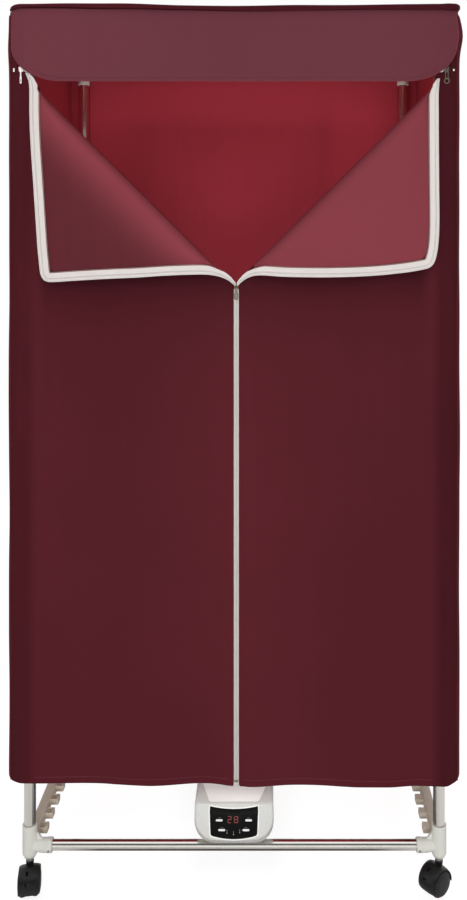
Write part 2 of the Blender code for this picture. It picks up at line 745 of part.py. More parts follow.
def valance(pivot):
    """The flap of cloth that hangs over the top of the front."""

    def middle(u, v):
        x = VALANCE_HALF_W * math.sin(math.pi * (u - 0.5))
        low = valance_hem_z(x)
        return x, VALANCE_Y - CLOTH_T / 2, low + (VALANCE_TOP_Z - low) * v

    made = cloth_sheet("valance", middle, lambda u, v: (0, 1, 0), 24, 4, "valance_cloth")
    move_under(made, pivot)
    return made


def move_under(item, pivot):
    """Hangs an object that was modelled in place under the empty on its joint's axis."""
    item.data.transform(Matrix.Translation(-pivot.matrix_world.translation))
    item.parent = pivot


def fold_z(x):
    """Height of the diagonal fold at a distance from the middle of the front."""
    share = (abs(x) - CLEAR) / (FOLD_TOP_X - CLEAR)
    return APEX_Z + (FOLD_TOP_Z - APEX_Z) * share


def door(name, side, pivot):
    """One front panel, from its hinge line at the margin to the centre zip, cut along the
    diagonal fold at its top."""
    edge_x = {-1: ZIP_X - ZIP_HALF_W - CLEAR, 1: ZIP_X + ZIP_HALF_W + CLEAR}[side]
    outer_x = side * (HINGE_X - CLEAR)
    top = SKIRT_Z - CLEAR

    def middle(u, v):
        x = outer_x + (edge_x - outer_x) * u
        low = hem_z(x)
        high = min(fold_z(x) - FLAP_EDGE_INSET, top)
        depth = DOOR_FOLD * math.sin(math.pi * u) * math.sin(math.pi * DOOR_FOLDS * u) ** 2 * (1 - v)
        return x, FRONT_Y + CLOTH_T / 2 + depth, low + (high - low) * v

    made = cloth_sheet(name, middle, lambda u, v: (0, 1, 0), 26, 8, "cover_cloth")
    move_under(made, pivot)
    return made


def flap_outline(side_name):
    """The free edge of a folded-out corner, from the top of its fold down, round its corner and
    along to the middle of the front, in distances from the middle."""
    corner_x = FOLD_TOP_X - FLAP_CORNER_INSET[side_name]
    corner_z = APEX_Z + FLAP_CORNER_RISE[side_name]
    start_z = FOLD_TOP_Z - TAPE_END_W
    bow = (FOLD_TOP_X - FLAP_CORNER_INSET[side_name] * FLAP_BOW_SHARE,
           corner_z + (start_z - corner_z) * FLAP_SAG_SHARE)
    down = [(FOLD_TOP_X - CLEAR, start_z), bow]
    turn = arc((corner_x - FLAP_CORNER_R, corner_z + FLAP_CORNER_R), FLAP_CORNER_R, 0, -90, 4)
    rise = corner_z + (fold_z(TAPE_END_W) - corner_z) / 2
    along = [(corner_x / 2, corner_z + (rise - corner_z) * FLAP_SAG_SHARE), (TAPE_END_W, rise)]
    return down + turn + along


def along_line(points, share):
    """The point at a share of a broken line's length."""
    lengths = [math.dist(a, b) for a, b in zip(points, points[1:])]
    left = share * sum(lengths)
    for (a, b), length in zip(zip(points, points[1:]), lengths):
        if left <= length:
            part = left / length
            return a[0] + (b[0] - a[0]) * part, a[1] + (b[1] - a[1]) * part
        left -= length
    return points[-1]


def flap(name, side_name, pivot):
    """A corner of the front panel, folded outwards along the diagonal and lying on the panel."""
    side = SIDES[side_name]
    outline = flap_outline(side_name)
    start_x = FOLD_TOP_X - CLEAR

    def middle(u, v):
        fold_x = start_x + (TAPE_END_W - start_x) * u
        root = Vector((fold_x, fold_z(fold_x) - 2 * FLAP_EDGE_INSET))
        edge = Vector(along_line(outline, u))
        point = root.lerp(edge, v)
        bulge = FLAP_BULGE * math.sin(math.pi * u) * math.sin(math.pi * v)
        return side * point.x, FRONT_Y - CLEAR - CLOTH_T / 2 - bulge, point.y

    made = cloth_sheet(name, middle, lambda u, v: (0, 1, 0), 20, 6, "flap_cloth")
    move_under(made, pivot)
    return made


def slider(name, pivot, centre, upright):
    """A zip slider: a plate with rounded corners."""
    x, y, z = centre
    half_w, half_l = (SLIDER_W / 2, SLIDER_L / 2) if upright else (SLIDER_L / 2, SLIDER_W / 2)
    outline = rounded_rectangle(half_w, -half_l, half_l, half_w / 2, half_w / 2, 2)
    back, front = y - CLEAR, y - CLEAR - SLIDER_T
    rings = [[(x + px, layer, z + pz) for px, pz in outline] for layer in (back, front)]
    made = make_object(name, loft_mesh(rings), "zip_metal", smooth=False)
    move_under(made, pivot)
    return made


def pull_tab(name, pivot, top):
    """A pull tab with a slot, hanging in front of its slider. Its hinge axis runs through the
    middle of its thickness, so its top turns clear of the slider."""
    x, y, z = top
    outline = rounded_rectangle(PULL_W / 2, -PULL_L, PULL_T / 2, PULL_W / 3, PULL_W / 4, 2)
    rings = [[(x + px, layer, z + pz) for px, pz in outline] for layer in (y + PULL_T / 2, y - PULL_T / 2)]
    made = make_object(name, loft_mesh(rings), "zip_metal", smooth=False)
    slot_low = z - PULL_L + PULL_W / 2
    slot = box_mesh((x - PULL_HOLE_W / 2, y + OVERRUN, slot_low),
                    (x + PULL_HOLE_W / 2, y - PULL_T - OVERRUN, slot_low + PULL_HOLE_L))
    cutter = make_cutter(name + "_slot", slot)
    move_under(made, pivot)
    move_under(cutter, pivot)
    combine(made, cutter, "DIFFERENCE")
    return made


def zip_chain(pivot):
    """The closed centre zip, from the apex of the opening down to the hem."""
    low = hem_z(ZIP_X)
    high = APEX_Z - SLIDER_L / 2
    bm = box_mesh((ZIP_X - ZIP_HALF_W, FRONT_Y - ZIP_PROUD, low),
                  (ZIP_X + ZIP_HALF_W, FRONT_Y + CLOTH_T, high))
    made = make_object("zip_chain", bm, "zip_coil", smooth=False)
    move_under(made, pivot)
    return made


def build_doors():
    for side_name, side in SIDES.items():
        hinge = make_empty("door_hinge_" + side_name, (side * HINGE_X, FRONT_Y, 0))
        fold_middle = Vector((side * FOLD_TOP_X / 2, 0, (FOLD_TOP_Z + APEX_Z) / 2))
        fold_at = (fold_middle.x - side * HINGE_X, -CLEAR / 2, fold_middle.z)
        fold = make_empty("flap_fold_" + side_name, fold_at, parent=hinge)
        bpy.context.view_layer.update()
        door("front_panel_" + side_name, side, hinge)
        flap("front_flap_" + side_name, side_name, fold)
        if side > 0:
            zip_chain(hinge)
            slide = make_empty("centre_zip_slide", (ZIP_X - side * HINGE_X, 0, APEX_Z), parent=hinge)
            face_y = FRONT_Y - ZIP_PROUD
            pull_y = face_y - SLIDER_T - 2 * CLEAR - PULL_T / 2
            swing = make_empty("centre_pull_swing", (0, pull_y - FRONT_Y, -SLIDER_L / 4), parent=slide)
            bpy.context.view_layer.update()
            slider("zip_slider_centre", slide, (ZIP_X, face_y, APEX_Z), upright=True)
            pull_tab("zip_pull_centre", swing, (ZIP_X, pull_y, APEX_Z - SLIDER_L / 4))


def build_top_zips():
    for side_name, side in SIDES.items():
        slide = make_empty("top_zip_slide_" + side_name, (side * TOP_SLIDER_X, FRONT_Y, TOP_ZIP_Z))
        pull_y = FRONT_Y - SLIDER_T - 2 * CLEAR - PULL_T / 2
        swing = make_empty("top_pull_swing_" + side_name, (0, pull_y - FRONT_Y, -SLIDER_W / 4), parent=slide)
        bpy.context.view_layer.update()
        slider("zip_slider_" + side_name, slide, (side * TOP_SLIDER_X, FRONT_Y, TOP_ZIP_Z), upright=False)
        pull_tab("zip_pull_" + side_name, swing, (side * TOP_SLIDER_X, pull_y, TOP_ZIP_Z - SLIDER_W / 4))


def build_cover():
    cover_top()
    cover_back()
    for side_name, side in SIDES.items():
        cover_side("cover_side_" + side_name, side)
    lift = make_empty("valance_lift", (0, VALANCE_Y - CLOTH_T, VALANCE_TOP_Z))
    bpy.context.view_layer.update()
    valance(lift)
    build_doors()
    build_top_zips()


def console_rings(inset, end_y, front_inset=None):
    """Sections of the heater's front arm, from its tilted face back to end_y."""
    front_inset = inset if front_inset is None else front_inset
    half_w = CONSOLE_HALF_W - inset
    low_r, high_r = CONSOLE_LOW_R - inset, max(CONSOLE_HIGH_R - inset, OVERRUN)
    chin_y = CONSOLE_Y + CHIN_BACK
    face_top_y = CONSOLE_Y + FACE_H * math.tan(TILT)
    deck_slope = DECK_RISE / (DRUM_Y - DRUM_R - face_top_y)
    stations = [(CONSOLE_Y + front_inset, FACE_LOW_Z, FACE_HIGH_Z, math.tan(TILT)),
                (chin_y, RAIL_TOP_Z, FACE_HIGH_Z + deck_slope * (chin_y - face_top_y), 0),
                (end_y, RAIL_TOP_Z, FACE_HIGH_Z + deck_slope * (end_y - face_top_y), 0)]
    rings = []
    for y, low, high, lean in stations:
        outline = rounded_rectangle(half_w, low + inset, high - inset, low_r, high_r)
        rings.append([(x, y + lean * (z - FACE_LOW_Z), z) for x, z in outline])
    return rings


def cylinder_profile(radius, low, high):
    return [(0, low), (radius, low), (radius, high), (0, high)]


def slot_boxes(radius, slot, bar, low_z, high_z, centre_y, band=0.0):
    """Parallel slots that fill a round field, left out of a band across its middle."""
    bm = bmesh.new()
    pitch = slot + bar
    count = int((2 * radius - slot) // pitch) + 1
    first = -(count - 1) * pitch / 2
    for i in range(count):
        x = first + i * pitch
        reach = math.sqrt(max(radius ** 2 - (abs(x) + slot / 2) ** 2, 0))
        if reach < band + slot:
            continue
        spans = [(-reach, -band), (band, reach)] if band else [(-reach, reach)]
        for near, far in spans:
            add_box(bm, (x - slot / 2, centre_y + near, low_z), (x + slot / 2, centre_y + far, high_z))
    return bm


def heater_upper_shell():
    """The heater's casing: the drum with its roof opening, the front arm that carries the
    controls and the rear arm that carries the power inlet. Both arms stand on the base rails."""
    middle = (0, DRUM_Y, 0)
    drum = lathe_mesh(cylinder_profile(DRUM_R, RAIL_TOP_Z, ROOF_Z), middle, sides=2 * ROUND_SIDES)
    body = make_object("heater_upper_shell", drum, "heater_plastic")
    combine(body, make_cutter("console_outer", loft_mesh(console_rings(0, DRUM_Y - DRUM_R / 2))), "UNION")
    tongue_end = REAR_POST_Y + TONGUE_OVERLAP
    tongue = box_mesh((-TONGUE_HALF_W, DRUM_Y + DRUM_R / 2, RAIL_TOP_Z),
                      (TONGUE_HALF_W, tongue_end, RAIL_TOP_Z + TONGUE_H))
    combine(body, make_cutter("tongue_outer", tongue), "UNION")

    inner_r = DRUM_R - HEATER_WALL
    cavity = make_cutter("drum_inner", lathe_mesh(
        cylinder_profile(inner_r, RAIL_TOP_Z - OVERRUN, ROOF_Z - HEATER_WALL), middle, sides=2 * ROUND_SIDES))
    console = loft_mesh(console_rings(HEATER_WALL, DRUM_Y - DRUM_R / 2, FRONT_WALL))
    combine(cavity, make_cutter("console_inner", console), "UNION")
    inner_tongue = box_mesh((HEATER_WALL - TONGUE_HALF_W, DRUM_Y + DRUM_R / 2, RAIL_TOP_Z + HEATER_WALL),
                            (TONGUE_HALF_W - HEATER_WALL, tongue_end - HEATER_WALL,
                             RAIL_TOP_Z + TONGUE_H - HEATER_WALL))
    combine(cavity, make_cutter("tongue_inner", inner_tongue), "UNION")
    outlet = lathe_mesh(cylinder_profile(GRILLE_R + CLEAR, ROOF_Z - 2 * HEATER_WALL, ROOF_Z + OVERRUN),
                        middle, sides=2 * ROUND_SIDES)
    combine(cavity, make_cutter("outlet_cut", outlet), "UNION")
    inlet_x, inlet_z = INLET_W / 2 + CLEAR, INLET_H / 2 + CLEAR
    inlet = box_mesh((-inlet_x, tongue_end - 2 * HEATER_WALL, inlet_centre_z() - inlet_z),
                     (inlet_x, tongue_end + OVERRUN, inlet_centre_z() + inlet_z))
    combine(cavity, make_cutter("inlet_cut", inlet), "UNION")
    combine(body, cavity, "DIFFERENCE")
    return body


def inlet_centre_z():
    return RAIL_TOP_Z + TONGUE_H / 2


def heater_lower_shell():
    """The heater's bottom pan, with the intake slots in its floor."""
    low, high = PAN_LOW_Z, RAIL_TOP_Z - CLEAR
    inner_r = DRUM_R - HEATER_WALL
    profile = [(0, low), (DRUM_R, low), (DRUM_R, high), (inner_r, high), (inner_r, low + HEATER_WALL),
               (0, low + HEATER_WALL)]
    pan = lathe_mesh(profile, (0, DRUM_Y, 0), sides=2 * ROUND_SIDES)
    body = make_object("heater_lower_shell", pan, "heater_plastic")
    slots = slot_boxes(INTAKE_R, GRILLE_SLOT, GRILLE_BAR, low - OVERRUN, low + HEATER_WALL + OVERRUN, DRUM_Y,
                       MOTOR_R + GRILLE_BAR)
    combine(body, make_cutter("intake_slots", slots), "DIFFERENCE")
    return body


def air_outlet_grille():
    """The grille in the roof: a slotted plug with a flange that rests on the roof."""
    plug_low = ROOF_Z - HEATER_WALL
    flange_low = ROOF_Z + CLEAR
    flange_r = GRILLE_R + GRILLE_FLANGE
    profile = [(0, plug_low), (GRILLE_R, plug_low), (GRILLE_R, flange_low), (flange_r, flange_low),
               (flange_r, flange_low + GRILLE_T), (0, flange_low + GRILLE_T)]
    plug = lathe_mesh(profile, (0, DRUM_Y, 0), sides=2 * ROUND_SIDES)
    body = make_object("air_outlet_grille", plug, "dark_plastic")
    slots = slot_boxes(GRILLE_R - GRILLE_BAR, GRILLE_SLOT, GRILLE_BAR, plug_low - OVERRUN,
                       flange_low + GRILLE_T + OVERRUN, DRUM_Y)
    combine(body, make_cutter("outlet_slots", slots), "DIFFERENCE")
    return body


def panel_outline(grow):
    """The control panel's outline in its own plane: narrower below, its top edge dipped, its lower
    corners cut off and its bottom edge bowed downwards."""
    top, bottom = PANEL_TOP_W / 2 + grow, PANEL_BOTTOM_W / 2 + grow
    half_h = PANEL_H / 2
    points = []
    steps = 8
    for i in range(steps + 1):
        share = 2 * i / steps - 1
        points.append((-share * top, half_h + grow - PANEL_BOW * (1 - share * share)))
    corner_z = PANEL_CORNER - half_h - grow
    points.append((-bottom, corner_z))
    for i in range(steps + 1):
        share = 2 * i / steps - 1
        points.append((share * (bottom - PANEL_CORNER), -half_h - grow - PANEL_BOW * (1 - share * share)))
    points.append((bottom, corner_z))
    return points


def plate_mesh(outline, out_near, out_far):
    """A plate in the console face's own axes, where -Y points out of the face."""
    return loft_mesh([[(x, -out, z) for x, z in outline] for out in (out_near, out_far)])


def button_places():
    places = {}
    for label, side in SIDES.items():
        places["upper_" + label] = (side * UPPER_BUTTON_X, UPPER_BUTTON_RISE)
        places["lower_" + label] = (side * LOWER_BUTTON_X, LOWER_BUTTON_RISE)
    return places


def build_controls(shell):
    """The glossy panel in its pocket on the console's face, and the buttons in its holes."""
    face_z = FACE_LOW_Z + FACE_H - PANEL_MARGIN * math.cos(TILT) - PANEL_H / 2 * math.cos(TILT)
    face_y = CONSOLE_Y + (face_z - FACE_LOW_Z) * math.tan(TILT)
    face = make_empty("console_face", (0, face_y, face_z), (-TILT, 0, 0))
    depth = PANEL_T - PANEL_PROUD
    pocket = make_cutter("panel_pocket", plate_mesh(panel_outline(CLEAR), -depth - CLEAR, OVERRUN), face)
    combine(shell, pocket, "DIFFERENCE")
    panel = make_object("control_panel", plate_mesh(panel_outline(0), -depth, PANEL_PROUD), "panel_gloss",
                        face)
    for label, (x, z) in button_places().items():
        outline = rounded_rectangle(BUTTON_W / 2, -BUTTON_H / 2, BUTTON_H / 2, BUTTON_H / 2 - CLEAR,
                                    BUTTON_H / 2 - CLEAR)
        hole_r = BUTTON_H / 2
        hole = rounded_rectangle(BUTTON_W / 2 + CLEAR, -hole_r - CLEAR, hole_r + CLEAR, hole_r, hole_r)
        seat = make_empty("button_slide_" + label, (x, 0, z), parent=face)
        cutter = make_cutter("button_hole_" + label, plate_mesh(hole, -depth - OVERRUN, OVERRUN), seat)
        combine(panel, cutter, "DIFFERENCE")
        front = PANEL_PROUD + BUTTON_PROUD
        make_object("button_" + label, plate_mesh(outline, front - BUTTON_T, front), "button_plastic", seat)


def fan_motor():
    """The fan motor on the pan's floor, its shaft upwards."""
    floor = PAN_LOW_Z + HEATER_WALL + CLEAR
    profile = [(0, floor), (MOTOR_R, floor), (MOTOR_R, floor + MOTOR_H), (SHAFT_R, floor + MOTOR_H),
               (SHAFT_R, floor + MOTOR_H + SHAFT_L), (0, floor + MOTOR_H + SHAFT_L)]
    return make_object("fan_motor", lathe_mesh(profile, (0, DRUM_Y, 0)), "motor_steel")


def fan_impeller():
    """The fan: a hub on the motor's shaft with straight blades round it."""
    low = PAN_LOW_Z + HEATER_WALL + MOTOR_H + 2 * CLEAR + OVERRUN
    bore = SHAFT_R + CLEAR
    hub = [(bore, low), (FAN_HUB_R, low), (FAN_HUB_R, low + FAN_H), (bore, low + FAN_H)]
    spin = make_empty("fan_spin", (0, DRUM_Y, 0))
    body = make_object("fan_impeller", lathe_mesh(hub), "dark_plastic", spin)
    for i in range(FAN_BLADES):
        blade = box_mesh((FAN_HUB_R - BLADE_T, -BLADE_T / 2, low + BLADE_T),
                         (FAN_R, BLADE_T / 2, low + FAN_H - BLADE_T))
        blade.transform(Matrix.Rotation(2 * math.pi * i / FAN_BLADES, 4, "Z"))
        combine(body, make_cutter("fan_blade_" + str(i), blade, spin), "UNION")
    return body


def heating_element():
    """The slotted heating element across the drum, above the fan."""
    high = ROOF_Z - ELEMENT_BELOW_ROOF
    radius = DRUM_R - HEATER_WALL - CLEAR
    disc = lathe_mesh(cylinder_profile(radius, high - ELEMENT_H, high), (0, DRUM_Y, 0), sides=2 * ROUND_SIDES)
    body = make_object("heating_element", disc, "element_metal")
    slots = slot_boxes(radius - ELEMENT_RIM, ELEMENT_SLOT, ELEMENT_BAR, high - ELEMENT_H - OVERRUN,
                       high + OVERRUN, DRUM_Y)
    combine(body, make_cutter("element_slots", slots), "DIFFERENCE")
    return body


def circuit_board():
    """The control board, lying on the floor of the front arm."""
    low = RAIL_TOP_Z + HEATER_WALL + CLEAR
    start = CONSOLE_Y + CHIN_BACK + HEATER_WALL
    bm = box_mesh((-BOARD_W / 2, start, low), (BOARD_W / 2, start + BOARD_L, low + BOARD_T))
    return make_object("circuit_board", bm, "board_green", smooth=False)


def power_inlet():
    """The mains inlet in the end of the rear arm: a socket with a flange outside the wall."""
    wall_y = REAR_POST_Y + TONGUE_OVERLAP
    face_y = wall_y + CLEAR + INLET_FLANGE_T
    z = inlet_centre_z()
    half_w, half_h = INLET_W / 2, INLET_H / 2
    flange = box_mesh((-half_w - INLET_FLANGE, wall_y + CLEAR, z - half_h - INLET_FLANGE),
                      (half_w + INLET_FLANGE, face_y, z + half_h + INLET_FLANGE))
    body = make_object("power_inlet", flange, "dark_plastic", smooth=False)
    barrel = box_mesh((-half_w, face_y - INLET_L, z - half_h),
                      (half_w, face_y - INLET_FLANGE_T / 2, z + half_h))
    combine(body, make_cutter("inlet_barrel", barrel), "UNION")
    socket = box_mesh((-SOCKET_W / 2, face_y - SOCKET_DEPTH, z - SOCKET_H / 2),
                      (SOCKET_W / 2, face_y + OVERRUN, z + SOCKET_H / 2))
    combine(body, make_cutter("inlet_socket", socket), "DIFFERENCE")
    return body


def build_heater():
    shell = heater_upper_shell()
    build_controls(shell)
    heater_lower_shell()
    air_outlet_grille()
    fan_motor()
    fan_impeller()
    heating_element()
    circuit_board()
    power_inlet()


def main():
    clear_scene()
    build_frame()
    build_castors()
    build_heater()
    build_cover()


main()
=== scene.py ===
"""Portable clothes dryer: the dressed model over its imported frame. A zipped cloth cover hangs on a
tube frame with castors, and a fan heater stands on the base rails."""

from math import copysign, cos, dist, exp, hypot, pi, radians, sin, sqrt, tan

import bpy
from mathutils import Matrix, Vector, noise


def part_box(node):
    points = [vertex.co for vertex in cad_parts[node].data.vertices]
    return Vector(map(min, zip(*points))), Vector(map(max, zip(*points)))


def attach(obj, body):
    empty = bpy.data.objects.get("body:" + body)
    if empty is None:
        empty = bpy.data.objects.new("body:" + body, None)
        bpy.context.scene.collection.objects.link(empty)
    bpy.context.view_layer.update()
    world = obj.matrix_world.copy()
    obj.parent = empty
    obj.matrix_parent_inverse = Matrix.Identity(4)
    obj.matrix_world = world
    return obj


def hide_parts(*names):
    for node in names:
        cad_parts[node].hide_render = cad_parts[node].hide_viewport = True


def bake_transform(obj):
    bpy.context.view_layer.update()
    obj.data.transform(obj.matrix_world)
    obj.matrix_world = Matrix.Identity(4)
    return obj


bl_info = {
    "name": "Portable Clothes Dryer",
    "version": (1, 0, 0),
    "blender": (4, 5, 0),
    "location": "3D View > Sidebar > Dryer",
    "description": "Builds the dressed clothes dryer over its packed frame",
    "category": "Object",
}

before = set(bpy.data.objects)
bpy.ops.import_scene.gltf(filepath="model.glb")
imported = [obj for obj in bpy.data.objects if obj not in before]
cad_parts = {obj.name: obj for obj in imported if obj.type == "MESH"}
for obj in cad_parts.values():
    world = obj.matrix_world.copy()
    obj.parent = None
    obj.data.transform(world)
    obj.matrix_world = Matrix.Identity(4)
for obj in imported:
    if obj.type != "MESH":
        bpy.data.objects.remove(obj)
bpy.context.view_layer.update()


def node_low(node):
    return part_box(node)[0]


def node_high(node):
    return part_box(node)[1]


def node_middle(node, axis):
    """The middle of a node's box along one axis."""
    return (getattr(node_low(node), axis) + getattr(node_high(node), axis)) / 2


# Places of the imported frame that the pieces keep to

FRONT_Y = node_low("front_panel_left").y
BACK_Y = node_high("cover_back").y
COVER_HALF_W = node_high("cover_top").x
COVER_TOP_Z = node_high("cover_top").z
SKIRT_Z = node_low("cover_top").z
HINGE_X = node_high("front_panel_right").x + 0.0003
VALANCE_BACK_Y = node_high("valance").y
VALANCE_HALF_W = node_high("valance").x
VALANCE_TOP_Z = node_high("valance").z
VALANCE_LOW_Z = node_low("valance").z
POST_X = node_middle("post_front_right", "x")
FRONT_POST_Y = node_middle("post_front_right", "y")
REAR_POST_Y = node_middle("post_rear_right", "y")
BASE_RAIL_Z = node_middle("base_rail_front", "z")
TOP_RAIL_Z = node_middle("top_rail_front", "z")
RAIL_TOP_Z = node_low("heater_upper_shell").z
ROOF_Z = node_high("heater_upper_shell").z
DRUM_X = node_middle("fan_motor", "x")
DRUM_Y = node_middle("fan_motor", "y")
DRUM_R = (node_high("heater_lower_shell").x - node_low("heater_lower_shell").x) / 2
CONSOLE_Y = node_low("heater_upper_shell").y
APEX_Z = node_middle("zip_slider_centre", "z")
ZIP_X = node_middle("zip_slider_centre", "x")
TOP_ZIP_Z = node_middle("zip_slider_left", "z")
ZIP_END_X = COVER_HALF_W - 0.013
FOLD_TOP_X = HINGE_X - 0.0037
FOLD_TOP_Z = SKIRT_Z - 0.0012
WHEEL_Z = node_middle("castor_wheels_front_left", "z")
TRAIL = REAR_POST_Y - node_middle("castor_wheels_rear_left", "y")

# Heights and lines of the cloth: (x, height of the hem), (x, rise of the roof's front edge) and
# (distance from the left end, fall of the front's upper edge)

CLOTH_TOP_Z = COVER_TOP_Z - 0.0145
HEM_LOW_Z = 0.19
SIDE_HEM_Z = 0.193
CORNER_START = 0.346
CORNER_DEPTH = 0.012
HEM = [(-0.376, 0.1975), (-0.366, 0.1925), (-0.352, 0.1905), (-0.225, 0.1899), (-0.13, 0.1862),
       (-0.042, 0.1892), (0.002, 0.1864), (0.037, 0.1842), (0.096, 0.186), (0.194, 0.184),
       (0.253, 0.1838), (0.303, 0.1866), (0.352, 0.185), (0.366, 0.19), (0.376, 0.1972)]
ROOF_LINE = [(-0.3765, 0.004), (-0.345, 0.0046), (-0.3, 0.005), (-0.2, 0.003), (-0.08, 0.0009),
             (0.02, 0.0), (0.12, 0.0012), (0.3, 0.0018), (0.338, 0.0022), (0.36, 0.0036),
             (0.3765, 0.0046)]
CORNER_ROUND = [(0.0, 0.016), (0.0018, 0.011), (0.0038, 0.0066), (0.0078, 0.003), (0.0135, 0.0008),
                (0.02, 0.0)]

# The heater's leaning face

FACE_TILT = radians(8)
FACE_LOW_Z = RAIL_TOP_Z + 0.0133
FACE_HIGH_Z = RAIL_TOP_Z + 0.0708

# The photo's size and the point in it that the camera looks straight at, in pixels

PHOTO_SIZE = (467, 900)
LOOK_AT = (275, 240)

SIDES = {"left": -1, "right": 1}
ENDS = {"front": -1, "rear": 1}
CASTOR_TURN = {"front_left": 10.0, "front_right": -50.0, "rear_left": 0.0, "rear_right": 0.0}
DIGIT_BARS = {"2": (0, 1, 3, 4, 6), "8": (0, 1, 2, 3, 4, 5, 6)}


def clip(share):
    """A share kept between 0 and 1."""
    return min(max(share, 0), 1)


def bell(distance, width):
    """One at no distance, dying away smoothly within about a width."""
    return exp(-(distance / width) ** 2)


def paint(red, green, blue):
    """A screen colour from 0 to 255 as the linear colour that a shader takes."""
    linear = []
    for value in (red, green, blue):
        share = value / 255
        linear.append(share / 12.92 if share <= 0.04045 else ((share + 0.055) / 1.055) ** 2.4)
    return tuple(linear)


def colour_size(name, description, default):
    return bpy.props.FloatVectorProperty(name=name, description=description, default=default, subtype="COLOR",
                                         size=3, min=0.0, max=1.0)


def length_size(name, description, default):
    return bpy.props.FloatProperty(name=name, description=description, default=default, unit="LENGTH",
                                   subtype="DISTANCE", precision=4, min=0.0)


class DryerClothSettings(bpy.types.PropertyGroup):
    """Sizes and colours of the cloth cover."""

    cover_colour: colour_size("Cover", "Colour of the doors and sides", paint(79, 28, 35))
    valance_colour: colour_size("Valance", "Colour of the valance and roof", paint(97, 49, 57))
    flap_colour: colour_size("Turned corner", "Colour of the cloth's turned face", paint(125, 56, 64))
    # Partly painted light: the lining is the cover's inner face, given a brighter, redder colour than the turned
    # face to stand in for light inside the cover.
    lining_colour: colour_size("Lining", "Colour of the cover's inner face", paint(164, 54, 66))
    tape_colour: colour_size("Zip tape", "Colour of the zip tapes", paint(206, 199, 195))
    cloth_thickness: length_size("Cloth thickness", "Thickness of the cloth", 0.0012)
    thread_pitch: length_size("Thread pitch", "Distance between threads of the weave", 0.0011)
    piping_radius: length_size("Piping", "Radius of the piping along the seams", 0.0022)
    tape_width: length_size("Tape width", "Width of the zip tape on the turned corners", 0.0168)
    hem_depth: length_size("Hem", "Depth of the turned hem", 0.011)


class DryerFrameSettings(bpy.types.PropertyGroup):
    """Sizes and colours of the tube frame and the castors."""

    connector_colour: colour_size("Connectors", "Colour of the corner connectors", paint(207, 207, 199))
    rail_colour: colour_size("Toothed rails", "Colour of the toothed side rails", paint(200, 188, 172))
    steel_colour: colour_size("Tubes", "Colour of the bright tubes", paint(238, 235, 228))
    castor_colour: colour_size("Castors", "Colour of the castors", paint(24, 24, 24))


class DryerHeaterSettings(bpy.types.PropertyGroup):
    """Sizes and colours of the fan heater."""

    casing_colour: colour_size("Casing", "Colour of the casing", paint(208, 208, 204))
    panel_colour: colour_size("Panel", "Colour of the glossy panel", paint(8, 8, 8))
    button_colour: colour_size("Buttons", "Colour of the buttons", paint(232, 232, 230))
    digit_colour: colour_size("Digits", "Colour of the lit digits", paint(150, 70, 66))
    edge_round: length_size("Edge rounding", "Rounding of the casing's edges", 0.003)


class DryerStageSettings(bpy.types.PropertyGroup):
    """The floor, the lamps and the camera."""

    floor_size: length_size("Floor", "Width of the floor", 14.0)
    camera_distance: length_size("Camera distance", "From the camera to the front posts", 1.51)
    camera_height: length_size("Camera height", "Height of the camera", 1.09)
    lamp_power: bpy.props.FloatProperty(name="Lamp power", description="Power of the main lamp", default=40.0,
                                        unit="POWER", min=0.0)
    sky_strength: bpy.props.FloatProperty(name="Sky strength", description="Strength of the even light",
                                          default=0.42, subtype="FACTOR", min=0.0, max=2.0)


# Making by hand: small helpers round the modelling operators


def deselect():
    bpy.ops.object.select_all(action="DESELECT")


def take(piece):
    """Makes a piece the only selected and active object."""
    deselect()
    piece.select_set(True)
    bpy.context.view_layer.objects.active = piece
    return piece


def settle(piece, name=None):
    """Puts a piece's place, turn and size into its mesh."""
    take(piece)
    bpy.ops.object.transform_apply(location=True, rotation=True, scale=True)
    if name:
        piece.name = name
        piece.data.name = name
    return piece


def start_editing(select=None):
    """Edit mode on the active piece, with all of it selected or deselected."""
    bpy.ops.object.mode_set(mode="EDIT")
    if select:
        bpy.ops.mesh.select_all(action=select)


def stop_editing():
    bpy.ops.object.mode_set(mode="OBJECT")


def modify(piece, kind, **settings):
    """Adds a modifier with its settings and applies it."""
    take(piece)
    modifier = piece.modifiers.new(kind.lower(), kind)
    for name, value in settings.items():
        setattr(modifier, name, value)
    bpy.ops.object.modifier_apply(modifier=modifier.name)
    return piece


def add_block(low, high):
    """A box between two corners."""
    deselect()
    low, high = Vector(low), Vector(high)
    bpy.ops.mesh.primitive_cube_add(size=1, location=(low + high) / 2)
    block = bpy.context.active_object
    block.scale = high - low
    return settle(block)


def add_rod(start, end, radius, sides=32):
    """A round bar between two points."""
    deselect()
    start, end = Vector(start), Vector(end)
    along = end - start
    bpy.ops.mesh.primitive_cylinder_add(vertices=sides, radius=radius, depth=along.length,
                                        location=(start + end) / 2,
                                        rotation=along.to_track_quat("Z", "Y").to_euler())
    return settle(bpy.context.active_object)


def outline_face(points):
    """A flat face from its outline: a filled circle whose corners are set on the outline."""
    deselect()
    bpy.ops.mesh.primitive_circle_add(vertices=len(points), radius=1, fill_type="NGON")
    face = bpy.context.active_object
    for vert, point in zip(face.data.vertices, points):
        vert.co = point
    return face


def outward(piece):
    """Merges doubles and turns every face of a closed piece outwards."""
    take(piece)
    start_editing("SELECT")
    bpy.ops.mesh.remove_doubles(threshold=0.00001)
    bpy.ops.mesh.normals_make_consistent(inside=False)
    stop_editing()
    return piece


def push_out(points, step):
    """An outline drawn out along step into a closed plate."""
    plate = outline_face(points)
    start_editing("SELECT")
    bpy.ops.mesh.extrude_region_move(TRANSFORM_OT_translate={"value": tuple(step)})
    stop_editing()
    return outward(plate)


